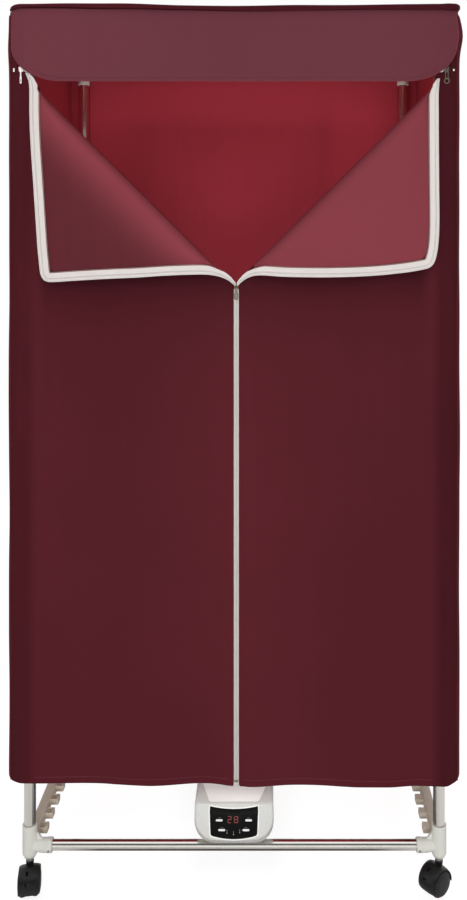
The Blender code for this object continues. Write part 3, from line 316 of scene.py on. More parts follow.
def turn_round(profile, centre, axis, steps=48):
    """A profile of (radius, along) points spun about an axis through centre."""
    axis = Vector(axis).normalized()
    across = Vector((1, 0, 0)) if abs(axis.z) > 0.9 else axis.orthogonal().normalized()
    deselect()
    bpy.ops.mesh.primitive_circle_add(vertices=len(profile), radius=1)
    turned = bpy.context.active_object
    for vert, (radius, along) in zip(turned.data.vertices, profile):
        vert.co = Vector(centre) + axis * along + across * radius
    start_editing()
    bpy.ops.mesh.select_mode(type="EDGE")
    bpy.ops.mesh.select_all(action="DESELECT")
    stop_editing()
    for edge in turned.data.edges:
        edge.select = set(edge.vertices) == {0, len(profile) - 1}
    start_editing()
    bpy.ops.mesh.delete(type="EDGE")
    bpy.ops.mesh.select_mode(type="VERT")
    bpy.ops.mesh.select_all(action="SELECT")
    bpy.ops.mesh.spin(steps=steps, angle=2 * pi, center=tuple(centre), axis=tuple(axis))
    stop_editing()
    return outward(turned)


def bridge_rings(rings):
    """Bridges a row of closed rings of points and closes both ends."""
    count = len(rings[0])
    deselect()
    bpy.ops.mesh.primitive_circle_add(vertices=count, radius=1)
    skin = bpy.context.active_object
    start_editing()
    for _ in rings[1:]:
        bpy.ops.mesh.primitive_circle_add(vertices=count, radius=1)
    bpy.ops.mesh.select_mode(type="EDGE")
    bpy.ops.mesh.select_all(action="DESELECT")
    stop_editing()
    for vert, place in zip(skin.data.vertices, [p for ring in rings for p in ring]):
        vert.co = place
    for i in range(len(rings) - 1):
        for edge in skin.data.edges:
            edge.select = all(i * count <= v < (i + 2) * count for v in edge.vertices) and \
                edge.vertices[0] // count == edge.vertices[1] // count
        start_editing()
        bpy.ops.mesh.bridge_edge_loops()
        bpy.ops.mesh.select_all(action="DESELECT")
        stop_editing()
    start_editing("DESELECT")
    bpy.ops.mesh.select_non_manifold(extend=False)
    bpy.ops.mesh.fill_holes(sides=0)
    bpy.ops.mesh.select_mode(type="VERT")
    stop_editing()
    return outward(skin)


def finish_edges(piece, width, segments=2, angle=30):
    """Rounds a piece's edges with an applied bevel."""
    return modify(piece, "BEVEL", width=width, segments=segments, limit_method="ANGLE",
                  angle_limit=radians(angle), harden_normals=False)


def combine(piece, other, operation="UNION"):
    """Adds another solid, which is used up."""
    modify(piece, "BOOLEAN", operation=operation, solver="EXACT", object=other)
    bpy.data.objects.remove(other)
    return piece


def carve(piece, other):
    """Cuts another solid away, which is used up."""
    return combine(piece, other, "DIFFERENCE")


def smooth(piece, angle=38):
    take(piece)
    bpy.ops.object.shade_smooth_by_angle(angle=radians(angle), keep_sharp_edges=True)
    return piece


def join(pieces):
    """Joins pieces into the first one."""
    deselect()
    for piece in pieces:
        piece.select_set(True)
    bpy.context.view_layer.objects.active = pieces[0]
    bpy.ops.object.join()
    return pieces[0]


def copy_piece(piece, matrix):
    """A copy with its own mesh, moved by a matrix, its faces outwards."""
    copied = piece.copy()
    copied.data = piece.data.copy()
    bpy.context.collection.objects.link(copied)
    copied.data.transform(matrix)
    if matrix.determinant() < 0:
        copied.data.flip_normals()
    return copied


def dress(piece, name, material, body, *nodes, slot=None, extra=None):
    """Names a finished piece and gives it its material, its body and the nodes that it stands for."""
    piece.name = name
    piece.data.name = name
    finishes = [material, extra] if extra else [material]
    for index, finish in enumerate(finishes):
        if index == len(piece.data.materials):
            piece.data.materials.append(finish)
        piece.data.materials[index] = finish
    if body:
        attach(piece, body)
    if nodes:
        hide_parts(*nodes)
    return piece


def cord_mesh(points, radius, resolution, closed=False, waist=1.0):
    """A round cord along points, as a mesh. Every other point may be narrower, by its waist."""
    curve = bpy.data.curves.new("cord_line", "CURVE")
    curve.dimensions = "3D"
    curve.bevel_depth = radius
    curve.bevel_resolution = resolution
    curve.use_fill_caps = True
    spline = curve.splines.new("POLY")
    spline.points.add(len(points) - 1)
    for i, (point, place) in enumerate(zip(spline.points, points)):
        point.co = (*place, 1.0)
        point.radius = 1.0 if i % 2 else waist
    spline.use_cyclic_u = closed
    cord = bpy.data.objects.new("cord_line", curve)
    bpy.context.collection.objects.link(cord)
    take(cord)
    bpy.ops.object.convert(target="MESH")
    return outward(bpy.context.active_object)


def drawn_cord(points, radius, closed=False, resolution=2):
    """A smooth round cord sewn along points."""
    return smooth(cord_mesh(points, radius, resolution, closed), 60)


def cut_cloth(columns, rows, place, size, facing, thickness, both_faces=True):
    """Lays a grid of cloth on place(u, v), both shares from 0 to 1. size is its flat width and
    length, kept in its UV map in metres, and facing is the way that its first face looks."""
    deselect()
    bpy.ops.mesh.primitive_grid_add(x_subdivisions=columns, y_subdivisions=rows, size=1, calc_uvs=True)
    cloth = bpy.context.active_object
    for vert in cloth.data.vertices:
        vert.co = place(clip(vert.co.x + 0.5), clip(vert.co.y + 0.5))
    for corner in cloth.data.uv_layers[0].data:
        corner.uv = (corner.uv[0] * size[0], corner.uv[1] * size[1])
    cloth.data.uv_layers[0].name = "cloth_uv"
    cloth.data.update()
    shown = sum(face.normal.dot(Vector(facing)) * face.area for face in cloth.data.polygons)
    if shown < 0:
        cloth.data.flip_normals()
    for _ in range(2 if both_faces else 1):
        cloth.data.materials.append(None)
    modify(cloth, "SOLIDIFY", thickness=thickness, offset=0, use_even_offset=False,
           material_offset=1 if both_faces else 0, material_offset_rim=0)
    modify(cloth, "SUBSURF", levels=1, render_levels=1)
    bpy.ops.object.shade_smooth()
    return cloth


def paint_shading_on_cloth(cloth, tone):
    """Paints light and shade into the cloth's colour: keeps at each point how much lighter or darker the cloth is
    painted there, by tone(x, z).
    """
    shade = cloth.data.attributes.new("painted_shading", "FLOAT", "POINT")
    for vert, item in zip(cloth.data.vertices, shade.data):
        item.value = tone(vert.co.x, vert.co.z)
    return cloth


def ripple(x, z, seed, scale, depth):
    """Gentle unevenness of hanging cloth at a place."""
    return depth * noise.noise(Vector((x * scale + seed, z * scale * 0.45, seed * 3.7)))


# Materials


def look_group(name, inputs):
    """A new shared group that gives a shader its colour, its roughness and its bump."""
    group = bpy.data.node_groups.new(name, "ShaderNodeTree")
    for socket_name, kind, value in inputs:
        socket = group.interface.new_socket(socket_name, in_out="INPUT", socket_type="NodeSocket" + kind)
        socket.default_value = value
    for socket_name, kind in (("Base Color", "Color"), ("Roughness", "Float"), ("Bump Height", "Float")):
        group.interface.new_socket(socket_name, in_out="OUTPUT", socket_type="NodeSocket" + kind)
    return group, group.nodes.new("NodeGroupInput").outputs, group.nodes.new("NodeGroupOutput").inputs


def math_node(tree, operation, *values):
    node = tree.nodes.new("ShaderNodeMath")
    node.operation = operation
    for socket, value in zip(node.inputs, values):
        if isinstance(value, (int, float)):
            socket.default_value = value
        else:
            tree.links.new(value, socket)
    return node.outputs[0]


def times(tree, first, second):
    return math_node(tree, "MULTIPLY", first, second)


def plus(tree, first, second):
    return math_node(tree, "ADD", first, second)


def spread_node(tree, value, amount):
    """A share made to swing evenly about zero."""
    return times(tree, math_node(tree, "SUBTRACT", value, 0.5), amount)


def noise_node(tree, vector, scale, detail=3.0, roughness=0.5, stretch=None):
    if stretch:
        mapping = tree.nodes.new("ShaderNodeMapping")
        mapping.inputs["Scale"].default_value = stretch
        tree.links.new(vector, mapping.inputs["Vector"])
        vector = mapping.outputs["Vector"]
    node = tree.nodes.new("ShaderNodeTexNoise")
    node.inputs["Scale"].default_value = scale
    node.inputs["Detail"].default_value = detail
    node.inputs["Roughness"].default_value = roughness
    tree.links.new(vector, node.inputs["Vector"])
    return node.outputs["Fac"]


def span_node(tree, value, low, high, to_low, to_high):
    node = tree.nodes.new("ShaderNodeMapRange")
    tree.links.new(value, node.inputs["Value"])
    for socket, number in zip(("From Min", "From Max", "To Min", "To Max"), (low, high, to_low, to_high)):
        node.inputs[socket].default_value = number
    return node.outputs["Result"]


def shade_colour(tree, colour, factor):
    """A colour made lighter or darker by a factor round one."""
    node = tree.nodes.new("ShaderNodeVectorMath")
    node.operation = "SCALE"
    tree.links.new(colour, node.inputs[0])
    tree.links.new(factor, node.inputs["Scale"])
    return node.outputs["Vector"]


def woven_cloth_group():
    """Woven coated cloth: threads, soft mottling, faint upright streaks and small creases, with the light and
    shade painted at each piece's points added to its colour.
    """
    group, given, made = look_group(
        "woven_cloth",
        [("Cloth Colour", "Color", (0.1, 0.02, 0.03, 1)), ("Thread Pitch", "Float", 0.0011),
         ("Mottle", "Float", 0.1)])
    flat = group.nodes.new("ShaderNodeUVMap")
    flat.uv_map = "cloth_uv"
    split = group.nodes.new("ShaderNodeSeparateXYZ")
    group.links.new(flat.outputs["UV"], split.inputs[0])
    turn = math_node(group, "DIVIDE", 2 * pi, given["Thread Pitch"])
    across = math_node(group, "SINE", times(group, split.outputs[0], turn))
    upright = math_node(group, "SINE", times(group, split.outputs[1], turn))
    threads = times(group, across, upright)
    place = group.nodes.new("ShaderNodeTexCoord").outputs["Object"]
    mottle = noise_node(group, place, 5.0, 3.0, 0.55)
    streak = noise_node(group, place, 1.0, 4.0, 0.6, (60.0, 60.0, 2.5))
    crease = noise_node(group, place, 26.0, 3.0, 0.6, (1.0, 1.0, 0.5))
    mottled = times(group, spread_node(group, mottle, given["Mottle"]), 2.0)
    factor = plus(group, plus(group, mottled, spread_node(group, streak, 0.1)), times(group, threads, 0.05))
    # Painted light and shade: the value each piece keeps at its points lightens or darkens the cloth's colour.
    painted_light_and_shade = group.nodes.new("ShaderNodeAttribute")
    painted_light_and_shade.attribute_name = "painted_shading"
    factor = plus(group, plus(group, factor, 1.0), painted_light_and_shade.outputs["Fac"])
    group.links.new(shade_colour(group, given["Cloth Colour"], factor), made["Base Color"])
    group.links.new(span_node(group, mottle, 0.3, 0.7, 0.52, 0.64), made["Roughness"])
    height = plus(group, times(group, threads, 0.05), times(group, crease, 0.9))
    group.links.new(height, made["Bump Height"])
    return group


def moulded_group():
    """Moulded plastic: fine grain, faint clouding and rubbed patches."""
    group, given, made = look_group(
        "moulded_plastic",
        [("Plastic Colour", "Color", (0.6, 0.6, 0.6, 1)), ("Shine", "Float", 0.4), ("Cloudiness", "Float", 0.06)])
    place = group.nodes.new("ShaderNodeTexCoord").outputs["Object"]
    cloud = noise_node(group, place, 22.0, 3.0, 0.5)
    grain = noise_node(group, place, 1500.0, 2.0, 0.5)
    rubbed = noise_node(group, place, 90.0, 4.0, 0.65)
    clouded = times(group, spread_node(group, cloud, given["Cloudiness"]), 2.0)
    factor = plus(group, plus(group, clouded, spread_node(group, grain, 0.03)), 1.0)
    group.links.new(shade_colour(group, given["Plastic Colour"], factor), made["Base Color"])
    rough = plus(group, given["Shine"], span_node(group, rubbed, 0.3, 0.7, -0.05, 0.07))
    group.links.new(rough, made["Roughness"])
    group.links.new(grain, made["Bump Height"])
    return group


def metal_group():
    """Bright drawn metal: fine lines along its length and a few dull patches."""
    group, given, made = look_group(
        "drawn_metal",
        [("Metal Colour", "Color", (0.6, 0.6, 0.6, 1)), ("Polish", "Float", 0.2),
         ("Grain Along", "Vector", (1.0, 40.0, 40.0))])
    place = group.nodes.new("ShaderNodeTexCoord").outputs["Object"]
    along = group.nodes.new("ShaderNodeVectorMath")
    along.operation = "MULTIPLY"
    group.links.new(place, along.inputs[0])
    group.links.new(given["Grain Along"], along.inputs[1])
    lines = noise_node(group, along.outputs["Vector"], 12.0, 4.0, 0.6)
    dull = noise_node(group, place, 14.0, 3.0, 0.5)
    factor = plus(group, span_node(group, lines, 0.2, 0.8, 0.96, 1.04),
                  span_node(group, dull, 0.3, 0.7, -0.03, 0.03))
    group.links.new(shade_colour(group, given["Metal Colour"], factor), made["Base Color"])
    rough = plus(group, given["Polish"], span_node(group, lines, 0.3, 0.7, -0.03, 0.06))
    group.links.new(rough, made["Roughness"])
    group.links.new(lines, made["Bump Height"])
    return group


GROUPS = {"woven_cloth": woven_cloth_group, "moulded_plastic": moulded_group, "drawn_metal": metal_group}


def material_with(name, look, values, bump_strength, bump_distance, metallic=0.0, settings=None):
    """A material whose shader takes its colour, roughness and bump from the shared group of a look."""
    found = bpy.data.materials.get("dryer_" + name)
    if found:
        return found
    made = bpy.data.materials.new("dryer_" + name)
    made.use_nodes = True
    tree = made.node_tree
    shader = tree.nodes["Principled BSDF"]
    shared = tree.nodes.new("ShaderNodeGroup")
    shared.node_tree = bpy.data.node_groups.get(look) or GROUPS[look]()
    for socket, value in values.items():
        shared.inputs[socket].default_value = value
    bump = tree.nodes.new("ShaderNodeBump")
    bump.inputs["Strength"].default_value = bump_strength
    bump.inputs["Distance"].default_value = bump_distance
    tree.links.new(shared.outputs["Base Color"], shader.inputs["Base Color"])
    tree.links.new(shared.outputs["Roughness"], shader.inputs["Roughness"])
    tree.links.new(shared.outputs["Bump Height"], bump.inputs["Height"])
    tree.links.new(bump.outputs["Normal"], shader.inputs["Normal"])
    shader.inputs["Metallic"].default_value = metallic
    for socket, value in (settings or {}).items():
        shader.inputs[socket].default_value = value
    return made


def cloth_material(name, setting, mottle):
    sizes = bpy.context.scene.dryer_cloth
    return material_with(name, "woven_cloth",
                         {"Cloth Colour": (*getattr(sizes, setting), 1), "Thread Pitch": sizes.thread_pitch,
                          "Mottle": mottle},
                         0.35, 0.001, settings={"Specular IOR Level": 0.04})


def plastic(name, colour, shine=0.42, cloudiness=0.05, settings=None):
    return material_with(name, "moulded_plastic",
                         {"Plastic Colour": (*colour, 1), "Shine": shine, "Cloudiness": cloudiness},
                         0.15, 0.0002, settings=settings)


def steel_material(name, colour, grain, polish=0.16):
    return material_with(name, "drawn_metal", {"Metal Colour": (*colour, 1), "Polish": polish,
                                               "Grain Along": grain}, 0.05, 0.0002, metallic=1.0)


def cover_material():
    return cloth_material("cover_cloth", "cover_colour", 0.08)


def valance_material():
    return cloth_material("valance_cloth", "valance_colour", 0.05)


def flap_material():
    return cloth_material("turned_cloth", "flap_colour", 0.06)


def lining_material():
    return cloth_material("lining_cloth", "lining_colour", 0.06)


def tape_material():
    return cloth_material("zip_tape", "tape_colour", 0.03)


# Lines of the cover that several pieces share


def fold_z(x):
    """Height of the diagonal fold at a distance from the middle of the front."""
    share = clip(abs(x) / FOLD_TOP_X)
    return APEX_Z + (FOLD_TOP_Z - APEX_Z) * share


def eased(points, x):
    """Smooth height at x along points of (x, height)."""
    if x <= points[0][0]:
        return points[0][1]
    for (x0, z0), (x1, z1) in zip(points, points[1:]):
        if x <= x1:
            share = (x - x0) / (x1 - x0)
            return z0 + (z1 - z0) * (1 - cos(pi * share)) / 2
    return points[-1][1]


def hem_line(x):
    """Height of the hem: gently uneven, and drawn up at the corners."""
    return eased(HEM, x)


def front_depth(x):
    """How far the cover's front recedes at x, where it turns round its posts."""
    share = min(max(abs(x) - CORNER_START, 0) / (COVER_HALF_W - 0.0006 - CORNER_START), 1)
    return CORNER_DEPTH * (1 - sqrt(max(1 - share * share, 0)))


def valance_edge(x):
    """Lower edge of the valance with its rounded ends."""
    reach, rise = 0.086, 0.06
    past = min(max(abs(x) - (VALANCE_HALF_W - reach), 0) / reach, 1)
    return VALANCE_LOW_Z + rise * (1 - sqrt(max(1 - past * past, 0)))


def valance_crown(x):
    """Upper edge of the valance, let down at its rounded upper corners."""
    reach, fall = 0.006, 0.0015
    past = min(max(abs(x) - (VALANCE_HALF_W - reach), 0) / reach, 1)
    return VALANCE_TOP_Z - 0.0004 - corner_round(x) - fall * (1 - sqrt(max(1 - past * past, 0)))


# The pieces


def cap_ring(z, inset, count=96):
    """The roof's rounded outline at one height."""
    half_w, half_d = COVER_HALF_W - inset, (BACK_Y - FRONT_Y) / 2 - inset
    middle_y = (BACK_Y + FRONT_Y) / 2
    radius = 0.02
    corners = [(half_w - radius, radius - half_d, -90), (half_w - radius, half_d - radius, 0),
               (radius - half_w, half_d - radius, 90), (radius - half_w, radius - half_d, 180)]
    outline = []
    for cx, cy, start in corners:
        for i in range(7):
            angle = radians(start + 15 * i)
            outline.append(Vector((cx + radius * cos(angle), cy + radius * sin(angle), 0)))
    lengths = [(outline[(i + 1) % len(outline)] - p).length for i, p in enumerate(outline)]
    total, ring = sum(lengths), []
    edge, used = 0, 0.0
    for k in range(count):
        want = total * k / count
        while want > used + lengths[edge]:
            used += lengths[edge]
            edge += 1
        part = (want - used) / lengths[edge]
        point = outline[edge].lerp(outline[(edge + 1) % len(outline)], part)
        swell = side_bulge(point.x, point.y + middle_y, z) * clip((abs(point.x) - half_w + 0.02) / 0.02)
        ring.append(Vector((point.x + copysign(swell, point.x), point.y + middle_y, z)))
    return ring


def roof_edge_drop(x, y=FRONT_Y):
    """How far the roof's edge hangs below its flat line: pulled up at the front corners."""
    front = clip((0.05 - y) / 0.22)
    return 0.0011 + 0.0007 * sin(x * 17 + 0.6) - front * eased(ROOF_LINE, x)


def corner_round(x):
    """How far the front's upper edge falls at the rounded left corner; the right one is square."""
    return eased(CORNER_ROUND, COVER_HALF_W + x) if x < 0 else 0.0


def side_bulge(side, y, z):
    """How far the cover's side swells near the top of the front corner."""
    front = clip((0.06 - y) / 0.24)
    if side > 0:
        return front * (0.0068 * bell(z - 1.431, 0.021) - 0.001 * bell(z - 1.464, 0.006)
                        + 0.0022 * bell(z - 1.474, 0.005))
    return front * 0.002 * bell(z - 1.408, 0.022)


class DRYER_OT_cover_cap(bpy.types.Operator):
    """Sews the roof of the cover with its rolled edge, its deep band and its piping"""

    bl_idname = "dryer.cover_cap"
    bl_label = "Cover cap"

    def execute(self, context):
        sizes = context.scene.dryer_cloth
        count, edge_inset = 144, 0.0145
        heights = [(SKIRT_Z + 0.0006, 0.0042), (SKIRT_Z + 0.012, 0.004), (SKIRT_Z + 0.045, 0.0036),
                   (SKIRT_Z + 0.085, 0.003), (COVER_TOP_Z - 0.02, 0.0012), (COVER_TOP_Z - 0.014, 0.0004),
                   (COVER_TOP_Z - 0.011, 0.0008), (COVER_TOP_Z - 0.0066, 0.0032), (COVER_TOP_Z - 0.003, 0.0078),
                   (COVER_TOP_Z - 0.0011, 0.0135)]
        rings = []
        for z, inset in heights:
            ring = cap_ring(z, inset, count)
            share = clip((z - COVER_TOP_Z + 0.03) / 0.018)
            ring = [p - Vector((0, 0, roof_edge_drop(p.x, p.y) * share)) for p in ring]
            for p in ring:
                if z < COVER_TOP_Z - 0.016:
                    p.y -= 0.0036 if p.y > 0 else 0
                    p.x -= copysign(0.0026 * clip((abs(p.x) - COVER_HALF_W + 0.012) / 0.008), p.x)
                toward_back = clip((p.y + 0.16) / 0.2)
                p.z = max(p.z, SKIRT_Z + 0.092 * toward_back + 0.2 * (z - SKIRT_Z))
                if p.y < FRONT_Y + 0.01 and abs(p.x) < FOLD_TOP_X + 0.004:
                    p.z = max(p.z, VALANCE_LOW_Z + 0.01 + 0.2 * (z - SKIRT_Z))
            rings.append(ring)
        middle = Vector((0, (BACK_Y + FRONT_Y) / 2, 0))
        for share in (0.93, 0.82, 0.68, 0.52, 0.36, 0.2, 0.08):
            ring = []
            for point in cap_ring(COVER_TOP_Z, edge_inset, count):
                flat = middle + (point - middle) * share
                sag = 0.004 * (1 - share) + 0.001 * (1 + noise.noise(Vector((flat.x * 9, flat.y * 9, 2.0))))
                sag += roof_edge_drop(point.x, point.y) * share
                near = clip((abs(flat.x) - 0.27) / 0.025) * clip((abs(flat.y) - 0.15) / 0.02)
                ring.append(Vector((flat.x, flat.y, COVER_TOP_Z - 0.0012 - sag * (1 - near))))
            rings.append(ring)
        points = [p for ring in rings for p in ring]
        faces = []
        for i in range(len(rings) - 1):
            for k in range(count):
                j = (k + 1) % count
                faces.append((i * count + k, i * count + j, (i + 1) * count + j, (i + 1) * count + k))
        faces.append([(len(rings) - 1) * count + k for k in range(count)])
        mesh = bpy.data.meshes.new("cover_cap")
        mesh.from_pydata([tuple(p) for p in points], [], faces)
        cap = bpy.data.objects.new("cover_cap", mesh)
        context.collection.objects.link(cap)
        layer = mesh.uv_layers.new(name="cloth_uv")
        for loop in mesh.loops:
            co = mesh.vertices[loop.vertex_index].co
            on_roof = co.z > COVER_TOP_Z - 0.012
            side_on = abs(co.x) > COVER_HALF_W - 0.016
            layer.data[loop.index].uv = (co.x, co.y) if on_roof else ((co.y if side_on else co.x), co.z)
        for _ in range(2):
            cap.data.materials.append(None)
        modify(cap, "SOLIDIFY", thickness=sizes.cloth_thickness, offset=-1, material_offset=1,
               material_offset_rim=0)
        bpy.ops.object.shade_smooth()
        smooth(cap, 50)
        dress(cap, "cover_cap", valance_material(), "frame", "cover_top", slot="valance_cloth",
              extra=lining_material())
        piping = drawn_cord([p - Vector((0, 0, roof_edge_drop(p.x, p.y))) for p in
                             cap_ring(COVER_TOP_Z - 0.0092, 0.0014, 96)], sizes.piping_radius * 0.5, closed=True)
        dress(piping, "roof_piping", valance_material(), "frame", slot="valance_cloth")

        left_end, right_end = 0.3712, 0.3752

        def roll(u, v):
            x = -left_end + (right_end + left_end) * (0.5 - 0.5 * cos(pi * u))
            end = min((right_end - x) / 0.0075 if x > 0 else (left_end + x) / 0.003, 1)
            heavy = clip((x + 0.25) / 0.3)
            thick = 0.0036 + 0.0018 * heavy + 0.0008 * sin(x * 23)
            thick *= 0.45 + 0.55 * sqrt(max(end, 0.0))
            angle = radians(-95 + 265 * v)
            high = VALANCE_TOP_Z + 0.005 - 0.0016 * heavy - roof_edge_drop(x) - corner_round(x)
            return x, FRONT_Y - 0.0006 - thick * cos(angle) + front_depth(x), high + thick * sin(angle)

        bead_size = (2 * VALANCE_HALF_W, 0.022)
        bead = cut_cloth(96, 10, roll, bead_size, (0, -1, 0), 0.001, both_faces=False)
        # Painted shade: the rolled edge wears the darker door cloth and is darkened further, more towards the
        # right.
        paint_shading_on_cloth(bead, lambda x, z: -0.22 - 0.16 * clip((x + 0.25) / 0.3))
        dress(bead, "valance_roll", cover_material(), "frame", slot="valance_cloth")
        return {"FINISHED"}


class DRYER_OT_valance(bpy.types.Operator):
    """Hangs the valance with its rounded ends and its piped edge"""

    bl_idname = "dryer.valance"
    bl_label = "Valance"

    def execute(self, context):
        sizes = context.scene.dryer_cloth
        width, drop = 2 * VALANCE_HALF_W, VALANCE_TOP_Z - VALANCE_LOW_Z

        def place(u, v):
            x = VALANCE_HALF_W * sin(pi * (u - 0.5)) * 0.998
            low = valance_edge(x) + 0.0012
            high = valance_crown(x)
            z = low + (high - low) * v - roof_edge_drop(x) * v ** 4
            lift = (1 - v) * (0.0016 + ripple(x, z, 4.0, 7.0, 0.003)) + 0.0006 * sin(x * 19) * (1 - v)
            swell = 0.0016 * sin(pi * v)
            turn_in = 0.0065 * max(abs(x) / VALANCE_HALF_W - 0.93, 0) / 0.07
            if x > 0:
                x += 0.0045 * bell(z - 1.431, 0.022) * max(x / VALANCE_HALF_W - 0.9, 0) / 0.1
            return x, VALANCE_BACK_Y - sizes.cloth_thickness / 2 - max(lift + swell, 0) + turn_in, z

        cloth = cut_cloth(72, 14, place, (width, drop), (0, -1, 0), sizes.cloth_thickness, both_faces=False)
        # Painted light and shade on the valance: lighter towards the left and along its lower edge, and a painted
        # shadow in a band under its top edge, fainter at its left end.
        paint_shading_on_cloth(cloth, lambda x, z: 0.1 - 0.1 * clip((x + 0.36) / 0.3) +
                   0.1 * bell(z - VALANCE_LOW_Z, 0.006) -
                   0.42 * exp(-max(VALANCE_TOP_Z - z, 0) / 0.005) * min(max((x + 0.33) / 0.2, 0.35), 1))
        dress(cloth, "valance_cloth", valance_material(), "valance", "valance", slot="valance_cloth")
        edge = []
        for k in range(161):
            x, y, z = place(k / 160, 0)
            edge.append(Vector((x * 0.999, y - 0.0008, z + 0.0004)))
        sides = []
        for u in (0, 1):
            line = []
            for k in range(1, 12):
                x, y, z = place(u, k / 12)
                line.append(Vector((x * 0.999, y - 0.0006, z)))
            sides.append(line)
        piping = drawn_cord(sides[0][::-1] + edge + sides[1], sizes.piping_radius * 0.42)
        dress(piping, "valance_piping", plastic("piping_wine", paint(112, 56, 64), 0.7, 0.05,
                                                {"Specular IOR Level": 0.06}), "valance", slot="valance_cloth")
        seam = []
        for k in range(4, 157):
            x, y, z = place(k / 160, 0.048)
            seam.append(Vector((x * (1 - 0.006 / VALANCE_HALF_W), y - 0.0007, z)))
        stitch = drawn_cord(seam, 0.00042, resolution=1)
        dress(stitch, "valance_seam", valance_material(), "valance", slot="valance_cloth")
        return {"FINISHED"}


class DRYER_OT_cover_sides(bpy.types.Operator):
    """Hangs both sides of the cover with their front and back margins and corner piping"""

    bl_idname = "dryer.cover_sides"
    bl_label = "Cover sides"

    def execute(self, context):
        sizes = context.scene.dryer_cloth
        half_t, radius, steps = 0.0008, 0.016, 34
        for label, side in SIDES.items():
            outer = COVER_HALF_W - half_t
            back = BACK_Y - half_t
            start = side_start()
            tucked = [start + 0.0015 - 0.002 * i for i in range(3, 0, -1)]
            path = [Vector((x, FRONT_Y + 0.0018 + front_depth(x))) for x in tucked]
            for i in range(9):
                x = start + (outer - start) * sin(pi / 2 * i / 8)
                path.append(Vector((x, FRONT_Y + half_t + 0.0004 + front_depth(x))))
            first = path[-1].y
            for i in range(1, steps):
                path.append(Vector((outer, first + (back - radius - first) * i / steps)))
            for i in range(0, 9):
                angle = radians(11.25 * i)
                path.append(Vector((outer - radius + radius * cos(angle), back - radius + radius * sin(angle))))
            path.append(Vector((HINGE_X - 0.004, back)))
            path.append(Vector((HINGE_X - 0.012, back)))
            lengths = [0.0]
            for a, b in zip(path, path[1:]):
                lengths.append(lengths[-1] + (b - a).length)
            total = lengths[-1]

            def place(u, v, path=path, lengths=lengths, side=side, total=total):
                want = u * total
                k = next((i for i in range(1, len(lengths)) if lengths[i] >= want - 1e-9), len(lengths) - 1)
                part = (want - lengths[k - 1]) / max(lengths[k] - lengths[k - 1], 1e-9)
                flat = path[k - 1].lerp(path[k], clip(part))
                low = hem_line(side * flat.x)
                z = low + (CLOTH_TOP_Z - low) * v
                free = sin(pi * clip((u - 0.02) / 0.96)) ** 0.5
                hang = 0.25 + 0.75 * sin(pi * min(v * 1.02, 1)) ** 0.8
                wave = 0.003 * sin(6.5 * pi * u + 0.8 * side) * hang
                wave += (ripple(flat.y, z, 11.0 + side, 5.0, 0.006) * hang +
                         ripple(flat.y, z, 17.0 + side, 14.0, 0.0018))
                loose = 0.15 + 0.85 * clip((SKIRT_Z + 0.01 - z) / 0.08)
                inward = (wave - 0.003 * hang) * free * loose
                edge = 0.0012 * noise.noise(Vector((z * 9.0, 3.0 + side, 0.5))) + 0.0004
                turned = clip((flat.x - outer + 0.012) / 0.012)
                x = flat.x + min(inward, 0.0008) + (edge + side_bulge(side, flat.y, z)) * turned
                return side * x, flat.y, z

            height = CLOTH_TOP_Z - SIDE_HEM_Z
            cloth = cut_cloth(96, 72, place, (total, height), (side, 0, 0), sizes.cloth_thickness)
            dress(cloth, "side_cloth_" + label, cover_material(), "frame", "cover_side_" + label,
                  slot="cover_cloth", extra=lining_material())
            corner = start + 0.0004
            line = []
            for k in range(61):
                z = hem_line(side * corner) + 0.001 + (CLOTH_TOP_Z - 0.002 - hem_line(side * corner)) * k / 60
                wander = 0.001 * noise.noise(Vector((z * 11.0, 7.0 + side, 0.2)))
                line.append(Vector((side * (corner + wander), FRONT_Y + front_depth(corner) - 0.0002, z)))
            piping = drawn_cord(line, sizes.piping_radius * 0.5)
            dress(piping, "corner_piping_" + label, cover_material(), "frame", slot="cover_cloth")
        return {"FINISHED"}


def side_start():
    """Where the side's cloth begins, at the seam round the front corner."""
    return COVER_HALF_W - 0.0062


class DRYER_OT_cover_back(bpy.types.Operator):
    """Hangs the back of the cover in shallow upright folds"""

    bl_idname = "dryer.cover_back"
    bl_label = "Cover back"

    def execute(self, context):
        sizes = context.scene.dryer_cloth
        width, height = 2 * HINGE_X, CLOTH_TOP_Z - HEM_LOW_Z

        def place(u, v):
            x = HINGE_X * (2 * u - 1)
            low = hem_line(-x)
            z = low + (CLOTH_TOP_Z - low) * v
            hold = sin(pi * u) ** 0.6 * sin(pi * min(0.1 + 0.9 * v, 1)) ** 0.4
            fold = 0.005 * hold * cos(5 * pi * u + 0.6 * sin(3 * v)) ** 2
            uneven = hold * (0.003 + ripple(x, z, 21.0, 4.0, 0.007))
            loose = clip((SKIRT_Z + 0.01 - z) / 0.08)
            return x, BACK_Y - 0.0024 - max(fold * 0.6 + uneven, 0) * (0.12 + 0.88 * loose), z

        cloth = cut_cloth(96, 64, place, (width, height), (0, 1, 0), sizes.cloth_thickness)
        paint_shading_on_cloth(cloth, back_painted_shade)
        dress(cloth, "back_cloth", cover_material(), "frame", "cover_back", slot="lining_cloth",
              extra=lining_material())
        return {"FINISHED"}


def back_painted_shade(x, z):
    """Painted shade on the back's lining: deeper between the corners, most of all low in the opening."""
    between = clip((0.307 - abs(x + 0.03)) / 0.11)
    return -between * (0.36 * clip((1.42 - z) / 0.09) + 0.12 * bell(z - 1.1, 0.1))


